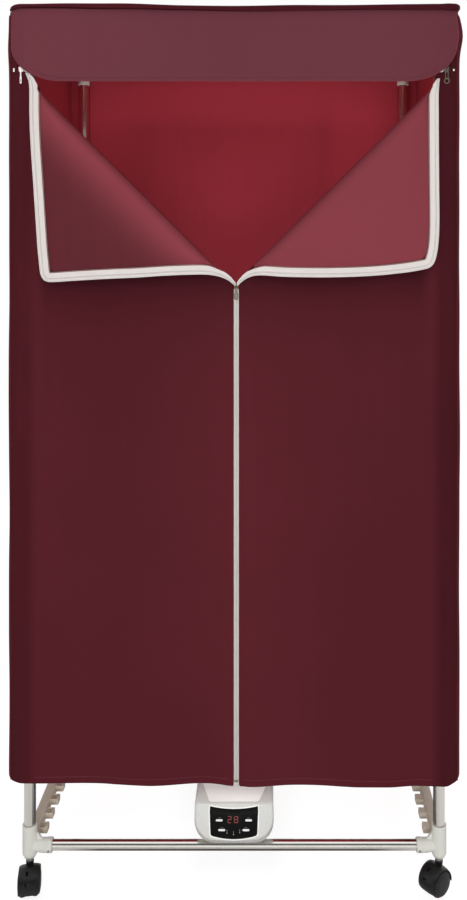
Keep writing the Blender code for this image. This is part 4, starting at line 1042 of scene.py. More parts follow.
class DRYER_OT_doors(bpy.types.Operator):
    """Hangs both front doors, cut along the diagonal folds, with their turned hems"""

    bl_idname = "dryer.doors"
    bl_label = "Front doors"

    def execute(self, context):
        sizes = context.scene.dryer_cloth
        for label, side in SIDES.items():
            edge_x = node_high("front_panel_left").x if side < 0 else node_low("front_panel_right").x
            outer_x = side * (side_start() + 0.002)
            turned_x = FOLD_TOP_X - 0.001

            def place(u, v, edge_x=edge_x, outer_x=outer_x, side=side):
                x = outer_x + (edge_x - outer_x) * u
                low = hem_line(x)
                reach = abs(x)
                if reach >= turned_x:
                    high = TOP_ZIP_Z + 0.002 if reach < ZIP_END_X else COVER_TOP_Z - 0.015
                else:
                    high = fold_z(x) + 0.0014
                z = low + (high - low) * v
                hold = sin(pi * clip((u - 0.05) / 0.95)) ** 0.6
                sway = 0.5 + 0.5 * sin(3.1 * pi * u + 1.3 * side + 0.5 * sin(4 * z))
                uneven = ripple(x, z, 31.0 + 5 * side, 4.0, 0.0075) + ripple(x, z, 41.0, 13.0, 0.0014)
                near_hem = 0.0012 * bell(z - low, 0.012)
                under = 0.003 * bell(z - 1.02, 0.06) * hold
                depth = hold * (0.0024 + 0.0046 * sway + uneven) + under - near_hem
                if reach < turned_x:
                    depth *= min((high - z) / 0.03, 1)
                return x, FRONT_Y + sizes.cloth_thickness / 2 + front_depth(x) + max(depth, 0), z

            width = abs(edge_x - outer_x)
            cloth = cut_cloth(92, 96, place, (width, FOLD_TOP_Z - HEM_LOW_Z), (0, -1, 0), sizes.cloth_thickness)
            paint_shading_on_cloth(cloth, door_painted_shading)
            dress(cloth, "door_cloth_" + label, cover_material(), None, "front_panel_" + label,
                  slot="cover_cloth", extra=flap_material())
            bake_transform(cloth)
            inner = abs(edge_x) + 0.01 if side > 0 else 0.01
            line = []
            for k in range(65):
                x = side * (inner + (HINGE_X - 0.008 - inner) * k / 64)
                u = (x - outer_x) / (edge_x - outer_x)
                y = place(u, sizes.hem_depth / 0.82)[1]
                line.append(Vector((x, y - 0.0008, hem_line(x) + sizes.hem_depth)))
            stitch = drawn_cord(line, 0.0004, resolution=1)
            dress(stitch, "hem_seam_" + label, plastic("hem_thread", paint(94, 42, 50), 0.6, 0.04),
                  "door_" + label, slot="cover_cloth")
        return {"FINISHED"}


def door_painted_shading(x, z):
    """Painted light and shade on the doors: a painted shadow under the turned corners, painted shade beyond the
    posts, towards the right and high near the outer edges, and faint lighter and darker bands of painted fold
    shading.
    """
    reach = abs(x)
    under = max(1.03 - z, 0)
    hidden = bell(max(z - 1.04, 0), 0.06)
    tone = -0.5 * exp(-under / 0.048) * hidden * clip((0.33 - reach) / 0.02)
    tone -= 0.06 * clip(x / 0.3) + 0.1 * clip((z - 0.95) / 0.2) * clip((reach - 0.3) / 0.03)
    beyond = clip((reach - 0.326) / 0.016)
    tone -= (0.3 if x > 0 else 0.24) * beyond
    # Painted fold shading: broad lighter and darker upright bands.
    return tone + 0.06 * sin(8.0 * x + 1.4 * sin(3.0 * z)) + 0.03 * sin(19.0 * x + 2.0 * z)


def corner_painted_shading(side, x, z):
    """Painted light and shade on a turned corner: a painted highlight a little below its fold, where it rolls
    over, a thin painted shade along the fold itself, and on the left painted shade deepening towards its free
    corner; on the right only the thin shade and a slight darkening."""
    below = (fold_z(x) - z) * 0.71
    near = bell(below, 0.046)
    rolled = 0.3 * bell(max(below, 0), 0.009)
    if side < 0:
        return 0.15 * near - 0.53 * (1 - near) - rolled
    return 0.02 * near - 0.04 - 0.7 * rolled


def corner_route(label):
    """Outer edge of a turned corner, as (distance from the middle, height), from the top of its
    fold down to its corner and along to the slider."""
    if label == "left":
        return [(0.343, 1.3655), (0.3395, 1.356), (0.3365, 1.34), (0.334, 1.26), (0.3285, 1.175),
                (0.3225, 1.083), (0.32, 1.056), (0.3178, 1.036), (0.313, 1.0255), (0.302, 1.0208),
                (0.26, 1.0232), (0.207, 1.0262), (0.156, 1.0285), (0.106, 1.0318), (0.064, 1.0332),
                (0.042, 1.0328), (0.024, 1.03), (0.011, 1.025), (0.003, 1.0195), (-0.0022, 1.015)]
    return [(0.3395, 1.356), (0.338, 1.344), (0.337, 1.31), (0.337, 1.26), (0.3375, 1.18),
            (0.338, 1.118), (0.336, 1.08), (0.331, 1.056), (0.324, 1.046), (0.312, 1.0415),
            (0.274, 1.0355), (0.225, 1.031), (0.168, 1.0288), (0.115, 1.0288), (0.075, 1.03),
            (0.05, 1.0318), (0.033, 1.0312), (0.021, 1.0268), (0.012, 1.0205), (0.0062, 1.015)]


def even_route(points, count):
    """A smooth route through points, as count + 1 evenly spaced places."""
    spots = [Vector(p) for p in points]
    dense = []
    for i in range(len(spots) - 1):
        a, b = spots[max(i - 1, 0)], spots[i]
        c, d = spots[i + 1], spots[min(i + 2, len(spots) - 1)]
        for k in range(12):
            t = k / 12
            dense.append(0.5 * ((2 * b) + (c - a) * t + (2 * a - 5 * b + 4 * c - d) * t * t +
                                (3 * b - a - 3 * c + d) * t ** 3))
    dense.append(spots[-1])
    lengths = [0.0]
    for a, b in zip(dense, dense[1:]):
        lengths.append(lengths[-1] + (b - a).length)
    route, k = [], 1
    for i in range(count + 1):
        want = lengths[-1] * i / count
        while k < len(lengths) - 1 and lengths[k] < want:
            k += 1
        part = (want - lengths[k - 1]) / max(lengths[k] - lengths[k - 1], 1e-9)
        route.append(dense[k - 1].lerp(dense[k], clip(part)))
    return route, lengths[-1]


def corner_stand(u, v):
    """How far a turned corner stands off the door: a roll along its fold that dies away."""
    roll = sin(pi * clip(v) ** 0.55)
    return 0.017 * roll * sin(pi * clip(0.08 + 0.87 * u)) ** 0.6


def tape_stand(share):
    """How far the tape's line stands off the door, from the top slider to the centre slider."""
    return 0.0012 + 0.0062 * min(share / 0.1, 1) * min((1 - share) / 0.12, 1)


class DRYER_OT_turned_corners(bpy.types.Operator):
    """Folds both upper corners of the doors outwards, with the zip tape along their free edges"""

    bl_idname = "dryer.turned_corners"
    bl_label = "Turned corners"

    def execute(self, context):
        sizes = context.scene.dryer_cloth
        width = sizes.tape_width
        for label, side in SIDES.items():
            route, length = even_route(corner_route(label), 96)
            lying_y = FRONT_Y - 0.0003 - 0.001
            last = len(route) - 1
            inner_line = []
            for k, spot in enumerate(route):
                ahead = route[min(k + 1, last)] - route[max(k - 1, 0)]
                normal = Vector((-ahead.y, ahead.x)).normalized()
                if normal.dot(Vector((0.16, 1.2)) - spot) < 0:
                    normal = -normal
                taper = min(1.0, 0.25 + k / 5) * min(1.0, 0.2 + (last - k) / 9)
                inner_line.append(spot + normal * width * taper)

            body_line = [p for k, p in enumerate(inner_line) if 3 <= k <= last - 5]
            foot, foot_length = even_route([tuple(p) for p in body_line], 64)

            def cloth_place(u, v, foot=foot, side=side):
                index = u * (len(foot) - 1)
                k = min(int(index), len(foot) - 2)
                edge = foot[k].lerp(foot[k + 1], index - k)
                start, end = foot[0], foot[-1]
                fold_x = start.x + (max(end.x, 0.022) - start.x) * u
                fold_x = min(fold_x, FOLD_TOP_X - 0.0005)
                root = Vector((fold_x, fold_z(fold_x) + 0.0008))
                spot = root.lerp(edge, v)
                stand = corner_stand(u, v) + tape_stand(0.03 + 0.92 * u) * v
                stand += ripple(spot.x, spot.y, 51.0 + side, 6.0, 0.003) * sin(pi * v)
                return side * spot.x, lying_y - max(stand, 0), spot.y

            cloth = cut_cloth(64, 44, cloth_place, (0.46, 0.23), (0, -1, 0), sizes.cloth_thickness)
            paint_shading_on_cloth(cloth, lambda x, z, side=side: corner_painted_shading(side, x, z))
            dress(cloth, "corner_cloth_" + label, flap_material(), None, "front_flap_" + label,
                  slot="flap_cloth", extra=cover_material())
            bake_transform(cloth)

            def tape_place(u, v, route=route, inner_line=inner_line, side=side):
                index = u * last
                k = min(int(index), last - 1)
                outer = route[k].lerp(route[k + 1], index - k)
                inner = inner_line[k].lerp(inner_line[k + 1], index - k)
                spot = outer.lerp(inner, v)
                lift = tape_stand(u) + 0.0011 + 0.0005 * sin(pi * v)
                return side * spot.x, lying_y - lift, spot.y

            tape = cut_cloth(96, 4, tape_place, (length, width), (0, -1, 0), 0.0009, both_faces=False)
            dress(tape, "corner_tape_" + label, tape_material(), "flap_" + label, slot="zip_coil")

            def along(share, out, ends=(0, None)):
                line = []
                for k, (outer, inner) in enumerate(zip(route, inner_line)):
                    spot = outer.lerp(inner, share)
                    line.append((side * spot.x, lying_y - tape_stand(k / last) - out, spot.y))
                return line[ends[0]:ends[1]]

            coil = zip_teeth(along(0.34, 0.0024), 0.001, 0.0016)
            dress(coil, "corner_teeth_" + label, plastic("teeth_grey", paint(198, 193, 189), 0.5, 0.04),
                  "flap_" + label, slot="zip_coil")
            rim = drawn_cord(along(0.05, 0.0016), 0.0009, resolution=1)
            dress(rim, "corner_rim_" + label, tape_material(), "flap_" + label, slot="zip_coil")
            seam = drawn_cord(along(0.93, 0.0018, (2, -4)), 0.0006, resolution=1)
            dress(seam, "corner_seam_" + label, plastic("wine_thread", paint(120, 44, 52), 0.6),
                  "flap_" + label, slot="zip_coil")
        return {"FINISHED"}


def zip_teeth(points, radius, pitch):
    """A row of zip teeth along a route: one ribbed cord."""
    spots = [Vector(p) for p in points]
    total = sum((b - a).length for a, b in zip(spots, spots[1:]))
    count = max(int(total / pitch) * 2, 8)
    route, _ = even_route([tuple(p) for p in spots], count)
    return cord_mesh(route, radius, 0, waist=0.66)


def slider_shape(centre, width, length, depth):
    """A zip slider: a waisted plate with a rounded bridge for its pull."""
    x, y, z = centre
    half_w, half_l = width / 2, length / 2
    share = [(0.62, -1.0), (0.86, -0.72), (0.8, 0.0), (1.0, 0.45), (0.92, 0.85), (0.55, 1.0)]
    right = [(a * half_w, b * half_l) for a, b in share]
    outline = right + [(-a, b) for a, b in reversed(right)]
    plate = push_out([(x + a, y, z + b) for a, b in outline], (0, -depth * 0.55, 0))
    finish_edges(plate, depth * 0.18, 2)
    bridge = add_block((x - width * 0.16, y - depth, z - length * 0.34),
                       (x + width * 0.16, y - depth * 0.5, z + length * 0.34))
    finish_edges(bridge, depth * 0.2, 2)
    return smooth(combine(plate, bridge))


def pull_shape(top, width, length, depth, hook=False):
    """A pull tab: a waisted bar with an eye at its foot, or two slim stems that end in an open ring."""
    x, y, z = top
    share = [(0.42, 0.0), (0.5, -0.1), (0.3, -0.24), (0.36, -0.45), (0.52, -0.62), (0.52, -0.9), (0.34, -1.0)]
    if hook:
        share = [(0.42, 0.0), (0.46, -0.12), (0.42, -0.55), (0.62, -0.66), (0.7, -0.8), (0.6, -0.93),
                 (0.26, -1.0)]
    right = [(a * width, b * length) for a, b in share]
    outline = right + [(-a, b) for a, b in reversed(right)]
    bar = push_out([(x + a, y + depth / 2, z + b) for a, b in outline], (0, -depth, 0))
    openings = [(-0.9, -0.66, 0.16)]
    if hook:
        openings = [(-0.93, -0.68, 0.36), (-0.56, -0.16, 0.18)]
    for low, high, reach in openings:
        slot = add_block((x - width * reach, y - depth, z + low * length),
                         (x + width * reach, y + depth, z + high * length))
        finish_edges(slot, width * reach * 0.35, 2)
        carve(bar, slot)
    return smooth(finish_edges(bar, depth * 0.22, 2))


class DRYER_OT_zips(bpy.types.Operator):
    """Makes the centre zip and the top zips, with their sliders and pulls"""

    bl_idname = "dryer.zips"
    bl_label = "Zips"

    def execute(self, context):
        metal = steel_material("slider_metal", paint(150, 140, 124), (30.0, 30.0, 6.0), 0.34)
        white = plastic("slider_white", paint(236, 228, 224), 0.45)
        face_y = FRONT_Y - 0.001
        low, high = node_low("zip_chain").z, node_high("zip_chain").z
        halves = []
        for step in (-1, 1):
            line = [(ZIP_X + step * 0.00165, face_y + 0.0007, low + (high - low) * k / 60) for k in range(61)]
            halves.append(zip_teeth(line, 0.00135, 0.0022))
        chain = join(halves)
        dress(chain, "zip_teeth_centre", tape_material(), "door_right", "zip_chain", slot="zip_coil")

        tape_size = (high - low, 0.0108)

        def strip(u, v):
            across, z = 2 * v - 1, low + (high - low) * u
            return ZIP_X + tape_size[1] / 2 * across, face_y + 0.002 + 0.0006 * abs(across), z

        tape = cut_cloth(40, 4, strip, tape_size, (0, -1, 0), 0.0006, both_faces=False)
        dress(tape, "zip_tape_centre", tape_material(), "door_right", slot="zip_coil")
        stop = add_block((ZIP_X - 0.003, face_y - 0.0004, low + 0.0002),
                         (ZIP_X + 0.003, face_y + 0.001, low + 0.0042))
        dress(smooth(finish_edges(stop, 0.0004)), "zip_stop_centre", metal, "door_right", slot="zip_metal")

        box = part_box("zip_slider_centre")
        body = slider_shape((ZIP_X, box[1].y, APEX_Z), 0.0084, box[1].z - box[0].z, box[1].y - box[0].y)
        dress(body, "slider_body_centre", metal, "centre_slider", "zip_slider_centre", slot="zip_metal")
        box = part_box("zip_pull_centre")
        pull = pull_shape((ZIP_X, (box[0].y + box[1].y) / 2, box[1].z), 0.0066, box[1].z - box[0].z, 0.0011)
        dress(pull, "pull_tab_centre", metal, "centre_pull", "zip_pull_centre", slot="zip_metal")

        for label, side in SIDES.items():
            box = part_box("zip_slider_" + label)
            middle = (box[0] + box[1]) / 2
            finish = white if side < 0 else metal
            body = slider_shape((middle.x, box[1].y, middle.z), box[1].x - box[0].x, box[1].z - box[0].z,
                                box[1].y - box[0].y)
            dress(body, "slider_body_" + label, finish, "top_slider_" + label, "zip_slider_" + label,
                  slot="zip_metal")
            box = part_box("zip_pull_" + label)
            width = 0.003 if side < 0 else 0.0072
            pull = pull_shape((middle.x, (box[0].y + box[1].y) / 2, box[1].z), width, box[1].z - box[0].z, 0.001,
                              hook=side > 0)
            dress(pull, "pull_tab_" + label, finish, "top_pull_" + label, "zip_pull_" + label, slot="zip_metal")
            tall = 0.0031 if side < 0 else 0.0016
            dot = add_block((side * (COVER_HALF_W - 0.0138), FRONT_Y - 0.0014, middle.z - 0.0012 - tall),
                            (side * (COVER_HALF_W - 0.0112), FRONT_Y - 0.0001, middle.z - 0.0012 + tall))
            dress(smooth(finish_edges(dot, 0.0005)), "zip_end_" + label, white, "frame", slot="zip_metal")
            inner, strip_w = 0.01, 0.0104
            reach = abs(middle.x) - 0.004 - inner

            def run(u, v, side=side, middle=middle, inner=inner, reach=reach, half=strip_w / 2):
                return side * (inner + reach * u), FRONT_Y - 0.0007, middle.z + half * (2 * v - 1)

            strip_cloth = cut_cloth(36, 2, run, (reach, strip_w), (0, -1, 0), 0.0006, both_faces=False)
            dress(strip_cloth, "top_tape_" + label, tape_material(), "frame", slot="zip_coil")
        return {"FINISHED"}


def castor_place(where):
    """The matrix that puts a castor modelled about its own swivel axis under its post."""
    end, side = where.split("_")
    spot = Vector((SIDES[side] * POST_X, FRONT_POST_Y if end == "front" else REAR_POST_Y, 0))
    return Matrix.Translation(spot) @ Matrix.Rotation(radians(CASTOR_TURN[where]), 4, "Z")


def hood_shape():
    """The castor's hood with its barrel sides, its web, its slots, its neck and its collar."""
    centre = Vector((0, -TRAIL, WHEEL_Z))
    half, outer, inner = 0.0191, 0.0244, 0.0222
    profile = [(0, -half), (outer - 0.0042, -half), (outer - 0.002, -half + 0.0022),
               (outer - 0.0006, -half + 0.007), (outer, -0.006), (outer, 0.006), (outer - 0.0006, half - 0.007),
               (outer - 0.002, half - 0.0022), (outer - 0.0042, half), (0, half)]
    hood = turn_round(profile, centre, (1, 0, 0), 64)
    for side in SIDES.values():
        well = add_rod(centre + Vector((side * 0.0021, 0, 0)), centre + Vector((side * 0.024, 0, 0)), inner, 64)
        carve(hood, well)
    cut = [centre + Vector((0, 0.003, -0.003)), centre + Vector((0, 0.04, -0.003)),
           centre + Vector((0, 0.04, -0.04)), centre + Vector((0, -0.04, -0.04)),
           centre + Vector((0, -0.04, -0.015))]
    wedge = push_out([p - Vector((0.025, 0, 0)) for p in cut], (0.05, 0, 0))
    hub = add_rod(centre - Vector((0.002, 0, 0)), centre + Vector((0.002, 0, 0)), 0.0085, 40)
    carve(hood, wedge)
    combine(hood, hub)
    for x, z, w, h in ((-0.003, 0.0205, 0.0036, 0.0036), (-0.0042, 0.0085, 0.0036, 0.0038)):
        skin = centre.y - sqrt(outer ** 2 - z ** 2)
        slot = add_block((x - w / 2, skin - 0.006, centre.z + z - h / 2),
                         (x + w / 2, skin + 0.006, centre.z + z + h / 2))
        carve(hood, slot)
    finish_edges(hood, 0.0004, 2, 45)
    sleeve_low = node_low("base_connector_front_left").z
    neck = turn_round([(0, WHEEL_Z + 0.0222), (0.0062, WHEEL_Z + 0.0222), (0.0066, sleeve_low - 0.006),
                       (0.0058, sleeve_low - 0.0052), (0, sleeve_low - 0.0052)], (0, 0, 0), (0, 0, 1), 40)
    combine(hood, neck)
    gusset = push_out([Vector((-0.0022, y, z)) for y,
                       z in ((0.0035, WHEEL_Z + 0.024), (-0.004, WHEEL_Z + 0.0235),
                             (-0.004, WHEEL_Z + 0.005), (-0.002, WHEEL_Z + 0.004))], (0.0044, 0, 0))
    combine(hood, gusset)
    axle = add_rod(centre - Vector((0.004, 0, 0)), centre + Vector((0.004, 0, 0)), 0.0033, 32)
    carve(hood, axle)
    return smooth(hood, 42)


def collar_shape():
    """The ribbed grey collar between a castor and its connector, with the stem above it."""
    low = node_low("base_connector_front_left").z - 0.0051
    collar = turn_round([(0, low), (0.006, low), (0.0064, low + 0.0006), (0.0064, low + 0.004),
                         (0.0058, low + 0.0046), (0.004, low + 0.0046), (0.004, low + 0.021),
                         (0, low + 0.021)], (0, 0, 0), (0, 0, 1), 40)
    skin, grooves = 0.0066, 10
    for k in range(grooves):
        angle = 2 * pi * k / grooves
        spot = Vector((skin * cos(angle), skin * sin(angle), 0))
        groove = add_rod(spot + Vector((0, 0, low - 0.001)), spot + Vector((0, 0, low + 0.0034)), 0.0013, 8)
        carve(collar, groove)
    return smooth(collar, 40)


def wheel_shape():
    """A domed castor wheel pair on its axle, about the axle's middle."""
    profile = []
    for side in (-1, 1):
        half = [(0, 0.01905), (0.004, 0.019), (0.0105, 0.0187), (0.0148, 0.0181), (0.0156, 0.0175),
                (0.0163, 0.0178), (0.0182, 0.0172), (0.0192, 0.0163), (0.0194, 0.0146), (0.0206, 0.0144),
                (0.0215, 0.0136), (0.0219, 0.0122), (0.0219, 0.01), (0.0214, 0.007), (0.0202, 0.0046),
                (0.0184, 0.0031), (0.012, 0.0027), (0.003, 0.0027)]
        points = [(r, side * x) for r, x in half]
        profile += points if side < 0 else points[::-1]
    return smooth(turn_round(profile, (0, 0, 0), (1, 0, 0), 64), 32)


class DRYER_OT_castors(bpy.types.Operator):
    """Makes the twin-wheel castors: hood, collar and wheels"""

    bl_idname = "dryer.castors"
    bl_label = "Castors"

    def execute(self, context):
        sizes = context.scene.dryer_frame
        black = plastic("castor_black", sizes.castor_colour, 0.34, 0.1, {"Specular IOR Level": 0.28})
        tread = plastic("wheel_black", tuple(c * 1.5 for c in sizes.castor_colour), 0.42, 0.14,
                        {"Specular IOR Level": 0.28})
        grey = plastic("collar_grey", paint(128, 127, 123), 0.4, 0.05)
        hood, collar, wheels = hood_shape(), collar_shape(), wheel_shape()
        for end in ENDS:
            for side in SIDES:
                where = end + "_" + side
                place = castor_place(where)
                dress(copy_piece(hood, place), "castor_hood_" + where, black, "castor_" + where,
                      "castor_housing_" + where, slot="castor_plastic")
                dress(copy_piece(collar, place), "castor_collar_" + where, grey, "castor_" + where,
                      slot="castor_plastic")
                axle = place @ Matrix.Translation((0, -TRAIL, WHEEL_Z))
                dress(copy_piece(wheels, axle), "castor_discs_" + where, tread, "wheels_" + where,
                      "castor_wheels_" + where, slot="castor_plastic")
        for spare in (hood, collar, wheels):
            bpy.data.objects.remove(spare)
        return {"FINISHED"}


def connector_shape():
    """A corner connector about the point where its post and rail axes cross: the sleeve upwards,
    the arm towards -X and the tongue towards +Y."""
    sleeve = turn_round([(0, -0.0189), (0.0078, -0.0189), (0.0094, -0.018), (0.0118, -0.0135), (0.0123, -0.011),
                         (0.0122, 0.0325), (0.0124, 0.0332), (0.0124, 0.035), (0.012, 0.0355), (0, 0.0355)],
                        (0, 0, 0), (0, 0, 1), 56)
    arm = turn_round([(0, 0.004), (0.0096, 0.004), (0.01, 0.013), (0.011, 0.019), (0.0114, 0.022),
                      (0.0114, 0.029), (0.0118, 0.0297), (0.0118, 0.037), (0.011, 0.038), (0, 0.038)],
                     (0, 0, 0), (-1, 0, 0), 56)
    combine(sleeve, arm)
    rib = push_out([Vector(p) for p in ((-0.01, -0.0022, 0.0085), (-0.023, -0.0022, 0.0085),
                                        (-0.011, -0.0022, 0.024))], (0, 0.0044, 0))
    combine(sleeve, rib)
    tongue = add_block((-0.0035, 0.006, 0.0046 - 0.0055), (0.0035, 0.03, 0.0046 + 0.0055))
    combine(sleeve, tongue)
    post = add_rod((0, 0, 0.0355 - 0.0191), (0, 0, 0.04), 0.00995, 56)
    carve(sleeve, post)
    rail = add_rod((-0.0138, 0, 0), (-0.04, 0, 0), 0.0087, 56)
    carve(sleeve, rail)
    stem = add_rod((0, 0, -0.02), (0, 0, -0.0016), 0.0043, 32)
    carve(sleeve, stem)
    return smooth(finish_edges(sleeve, 0.0005, 2, 40), 40)


def screw_shape():
    """A small cross-head screw with its head towards -Y."""
    head = turn_round([(0, 0), (0.0021, 0), (0.0021, 0.0006), (0.0015, 0.0011), (0, 0.0012)], (0, 0, 0),
                      (0, -1, 0), 28)
    for low, high in (((-0.0013, -0.002, -0.00025), (0.0013, -0.0007, 0.00025)),
                      ((-0.00025, -0.002, -0.0013), (0.00025, -0.0007, 0.0013))):
        carve(head, add_block(low, high))
    return smooth(head, 35)


class DRYER_OT_connectors(bpy.types.Operator):
    """Makes the corner connectors of the base and the top, with their screws"""

    bl_idname = "dryer.connectors"
    bl_label = "Corner connectors"

    def execute(self, context):
        sizes = context.scene.dryer_frame
        moulded = plastic("connector_plastic", sizes.connector_colour, 0.46, 0.05)
        bright = steel_material("screw_steel", paint(190, 188, 182), (20.0, 20.0, 20.0), 0.3)
        body, screw = connector_shape(), screw_shape()
        for level, rail_z, up in (("base", BASE_RAIL_Z, 1), ("top", TOP_RAIL_Z, -1)):
            for end, along in ENDS.items():
                for side, across in SIDES.items():
                    post_y = FRONT_POST_Y if along < 0 else REAR_POST_Y
                    place = Matrix.Translation((across * POST_X, post_y, rail_z)) @ \
                        Matrix.Diagonal((across, -along, up, 1))
                    name = level + "_connector_" + end + "_" + side
                    dress(copy_piece(body, place), "corner_" + level + "_" + end + "_" + side, moulded, "frame",
                          name, slot="connector_plastic")
                    spot = Matrix.Translation((across * (POST_X - 0.0335), post_y + along * 0.0112,
                                               rail_z - 0.0035 * up))
                    if along > 0:
                        spot = spot @ Matrix.Rotation(pi, 4, "Z")
                    dress(copy_piece(screw, spot), "screw_" + level + "_" + end + "_" + side, bright, "frame",
                          slot="connector_plastic")
        bpy.data.objects.remove(body)
        bpy.data.objects.remove(screw)
        return {"FINISHED"}


class DRYER_OT_toothed_rails(bpy.types.Operator):
    """Makes the toothed side rails: a ribbed bar with hollow-fronted blocks along its inner side"""

    bl_idname = "dryer.toothed_rails"
    bl_label = "Toothed rails"

    def execute(self, context):
        sizes = context.scene.dryer_frame
        beige = plastic("rail_plastic", sizes.rail_colour, 0.55, 0.08)
        half_w, half_h, reach = 0.0075, 0.0098, 0.0138
        count, pitch, length = 10, 0.039, 0.016
        for level, up in (("base", 1), ("top", -1)):
            for label, side in SIDES.items():
                node = level + "_side_rail_" + label
                low, high = node_low(node), node_high(node)
                mid_z = (low.z + high.z) / 2 if level == "base" else high.z - 0.01
                x = side * POST_X
                bar = add_block((x - half_w, low.y, mid_z - half_h), (x + half_w, high.y, mid_z + half_h))
                groove = add_block((x + side * 0.0066, low.y + 0.012, mid_z - 0.0035),
                                   (x + side * 0.009, high.y - 0.012, mid_z + 0.0035))
                carve(bar, groove)
                inner = x - side * half_w
                first = (low.y + high.y) / 2 - ((count - 1) * pitch + length) / 2
                tooth = add_block((inner + side * 0.002, first, mid_z - 0.0052),
                                  (inner - side * reach, first + length, mid_z + 0.0052))
                hollow = add_block((inner - side * 0.0012, first + 0.0022, mid_z - 0.007),
                                   (inner - side * 0.01, first + length - 0.0022, mid_z + 0.007))
                carve(tooth, hollow)
                rib = add_block((inner - side * 0.0002, first + length / 2 - 0.0007, mid_z - 0.0046),
                                (inner - side * 0.012, first + length / 2 + 0.0007, mid_z + 0.0046))
                combine(tooth, rib)
                outward(tooth)
                teeth = [copy_piece(tooth, Matrix.Translation((0, i * pitch, 0))) for i in range(count)]
                bpy.data.objects.remove(tooth)
                combine(bar, join(teeth))
                if level == "top":
                    ledge = add_block((x, low.y + 0.001, mid_z - 0.0074),
                                      (inner - side * reach, high.y - 0.001, mid_z - 0.0046))
                    combine(bar, ledge)
                for face, away in ((low.y, 1), (high.y, -1)):
                    pocket = add_block((x - 0.0038, face - away * 0.002, mid_z - 0.0058),
                                       (x + 0.0038, face + away * 0.0178, mid_z + 0.0058))
                    carve(bar, pocket)
                finish_edges(bar, 0.0005, 2, 50)
                dress(smooth(bar, 40), "toothed_rail_" + level + "_" + label, beige, "frame", node,
                      slot="rail_plastic")
        return {"FINISHED"}


def console_ring(y, low, high, half_w, lean, low_r, high_r, bow):
    """A rounded section of the heater's front arm with bowed sides."""
    ring = []
    corners = [(half_w - low_r, low + low_r, low_r, -90), (half_w - high_r, high - high_r, high_r, 0),
               (high_r - half_w, high - high_r, high_r, 90), (low_r - half_w, low + low_r, low_r, 180)]
    for cx, cz, radius, start in corners:
        for i in range(9):
            angle = radians(start + 90 * i / 8)
            ring.append([cx + radius * cos(angle), cz + radius * sin(angle)])
    filled = []
    for k, point in enumerate(ring):
        after = ring[(k + 1) % len(ring)]
        filled.append(point)
        gap = dist(point, after)
        if gap > 0.012:
            parts = 6
            filled += [[point[0] + (after[0] - point[0]) * i / parts, point[1] + (after[1] - point[1]) * i /
                        parts] for i in range(1, parts)]
    made = []
    for px, pz in filled:
        share = (pz - low) / (high - low)
        swell = bow * sin(pi * clip(share)) * (px / half_w)
        made.append(Vector((px + swell, y + lean * (pz - low), pz)))
    return made


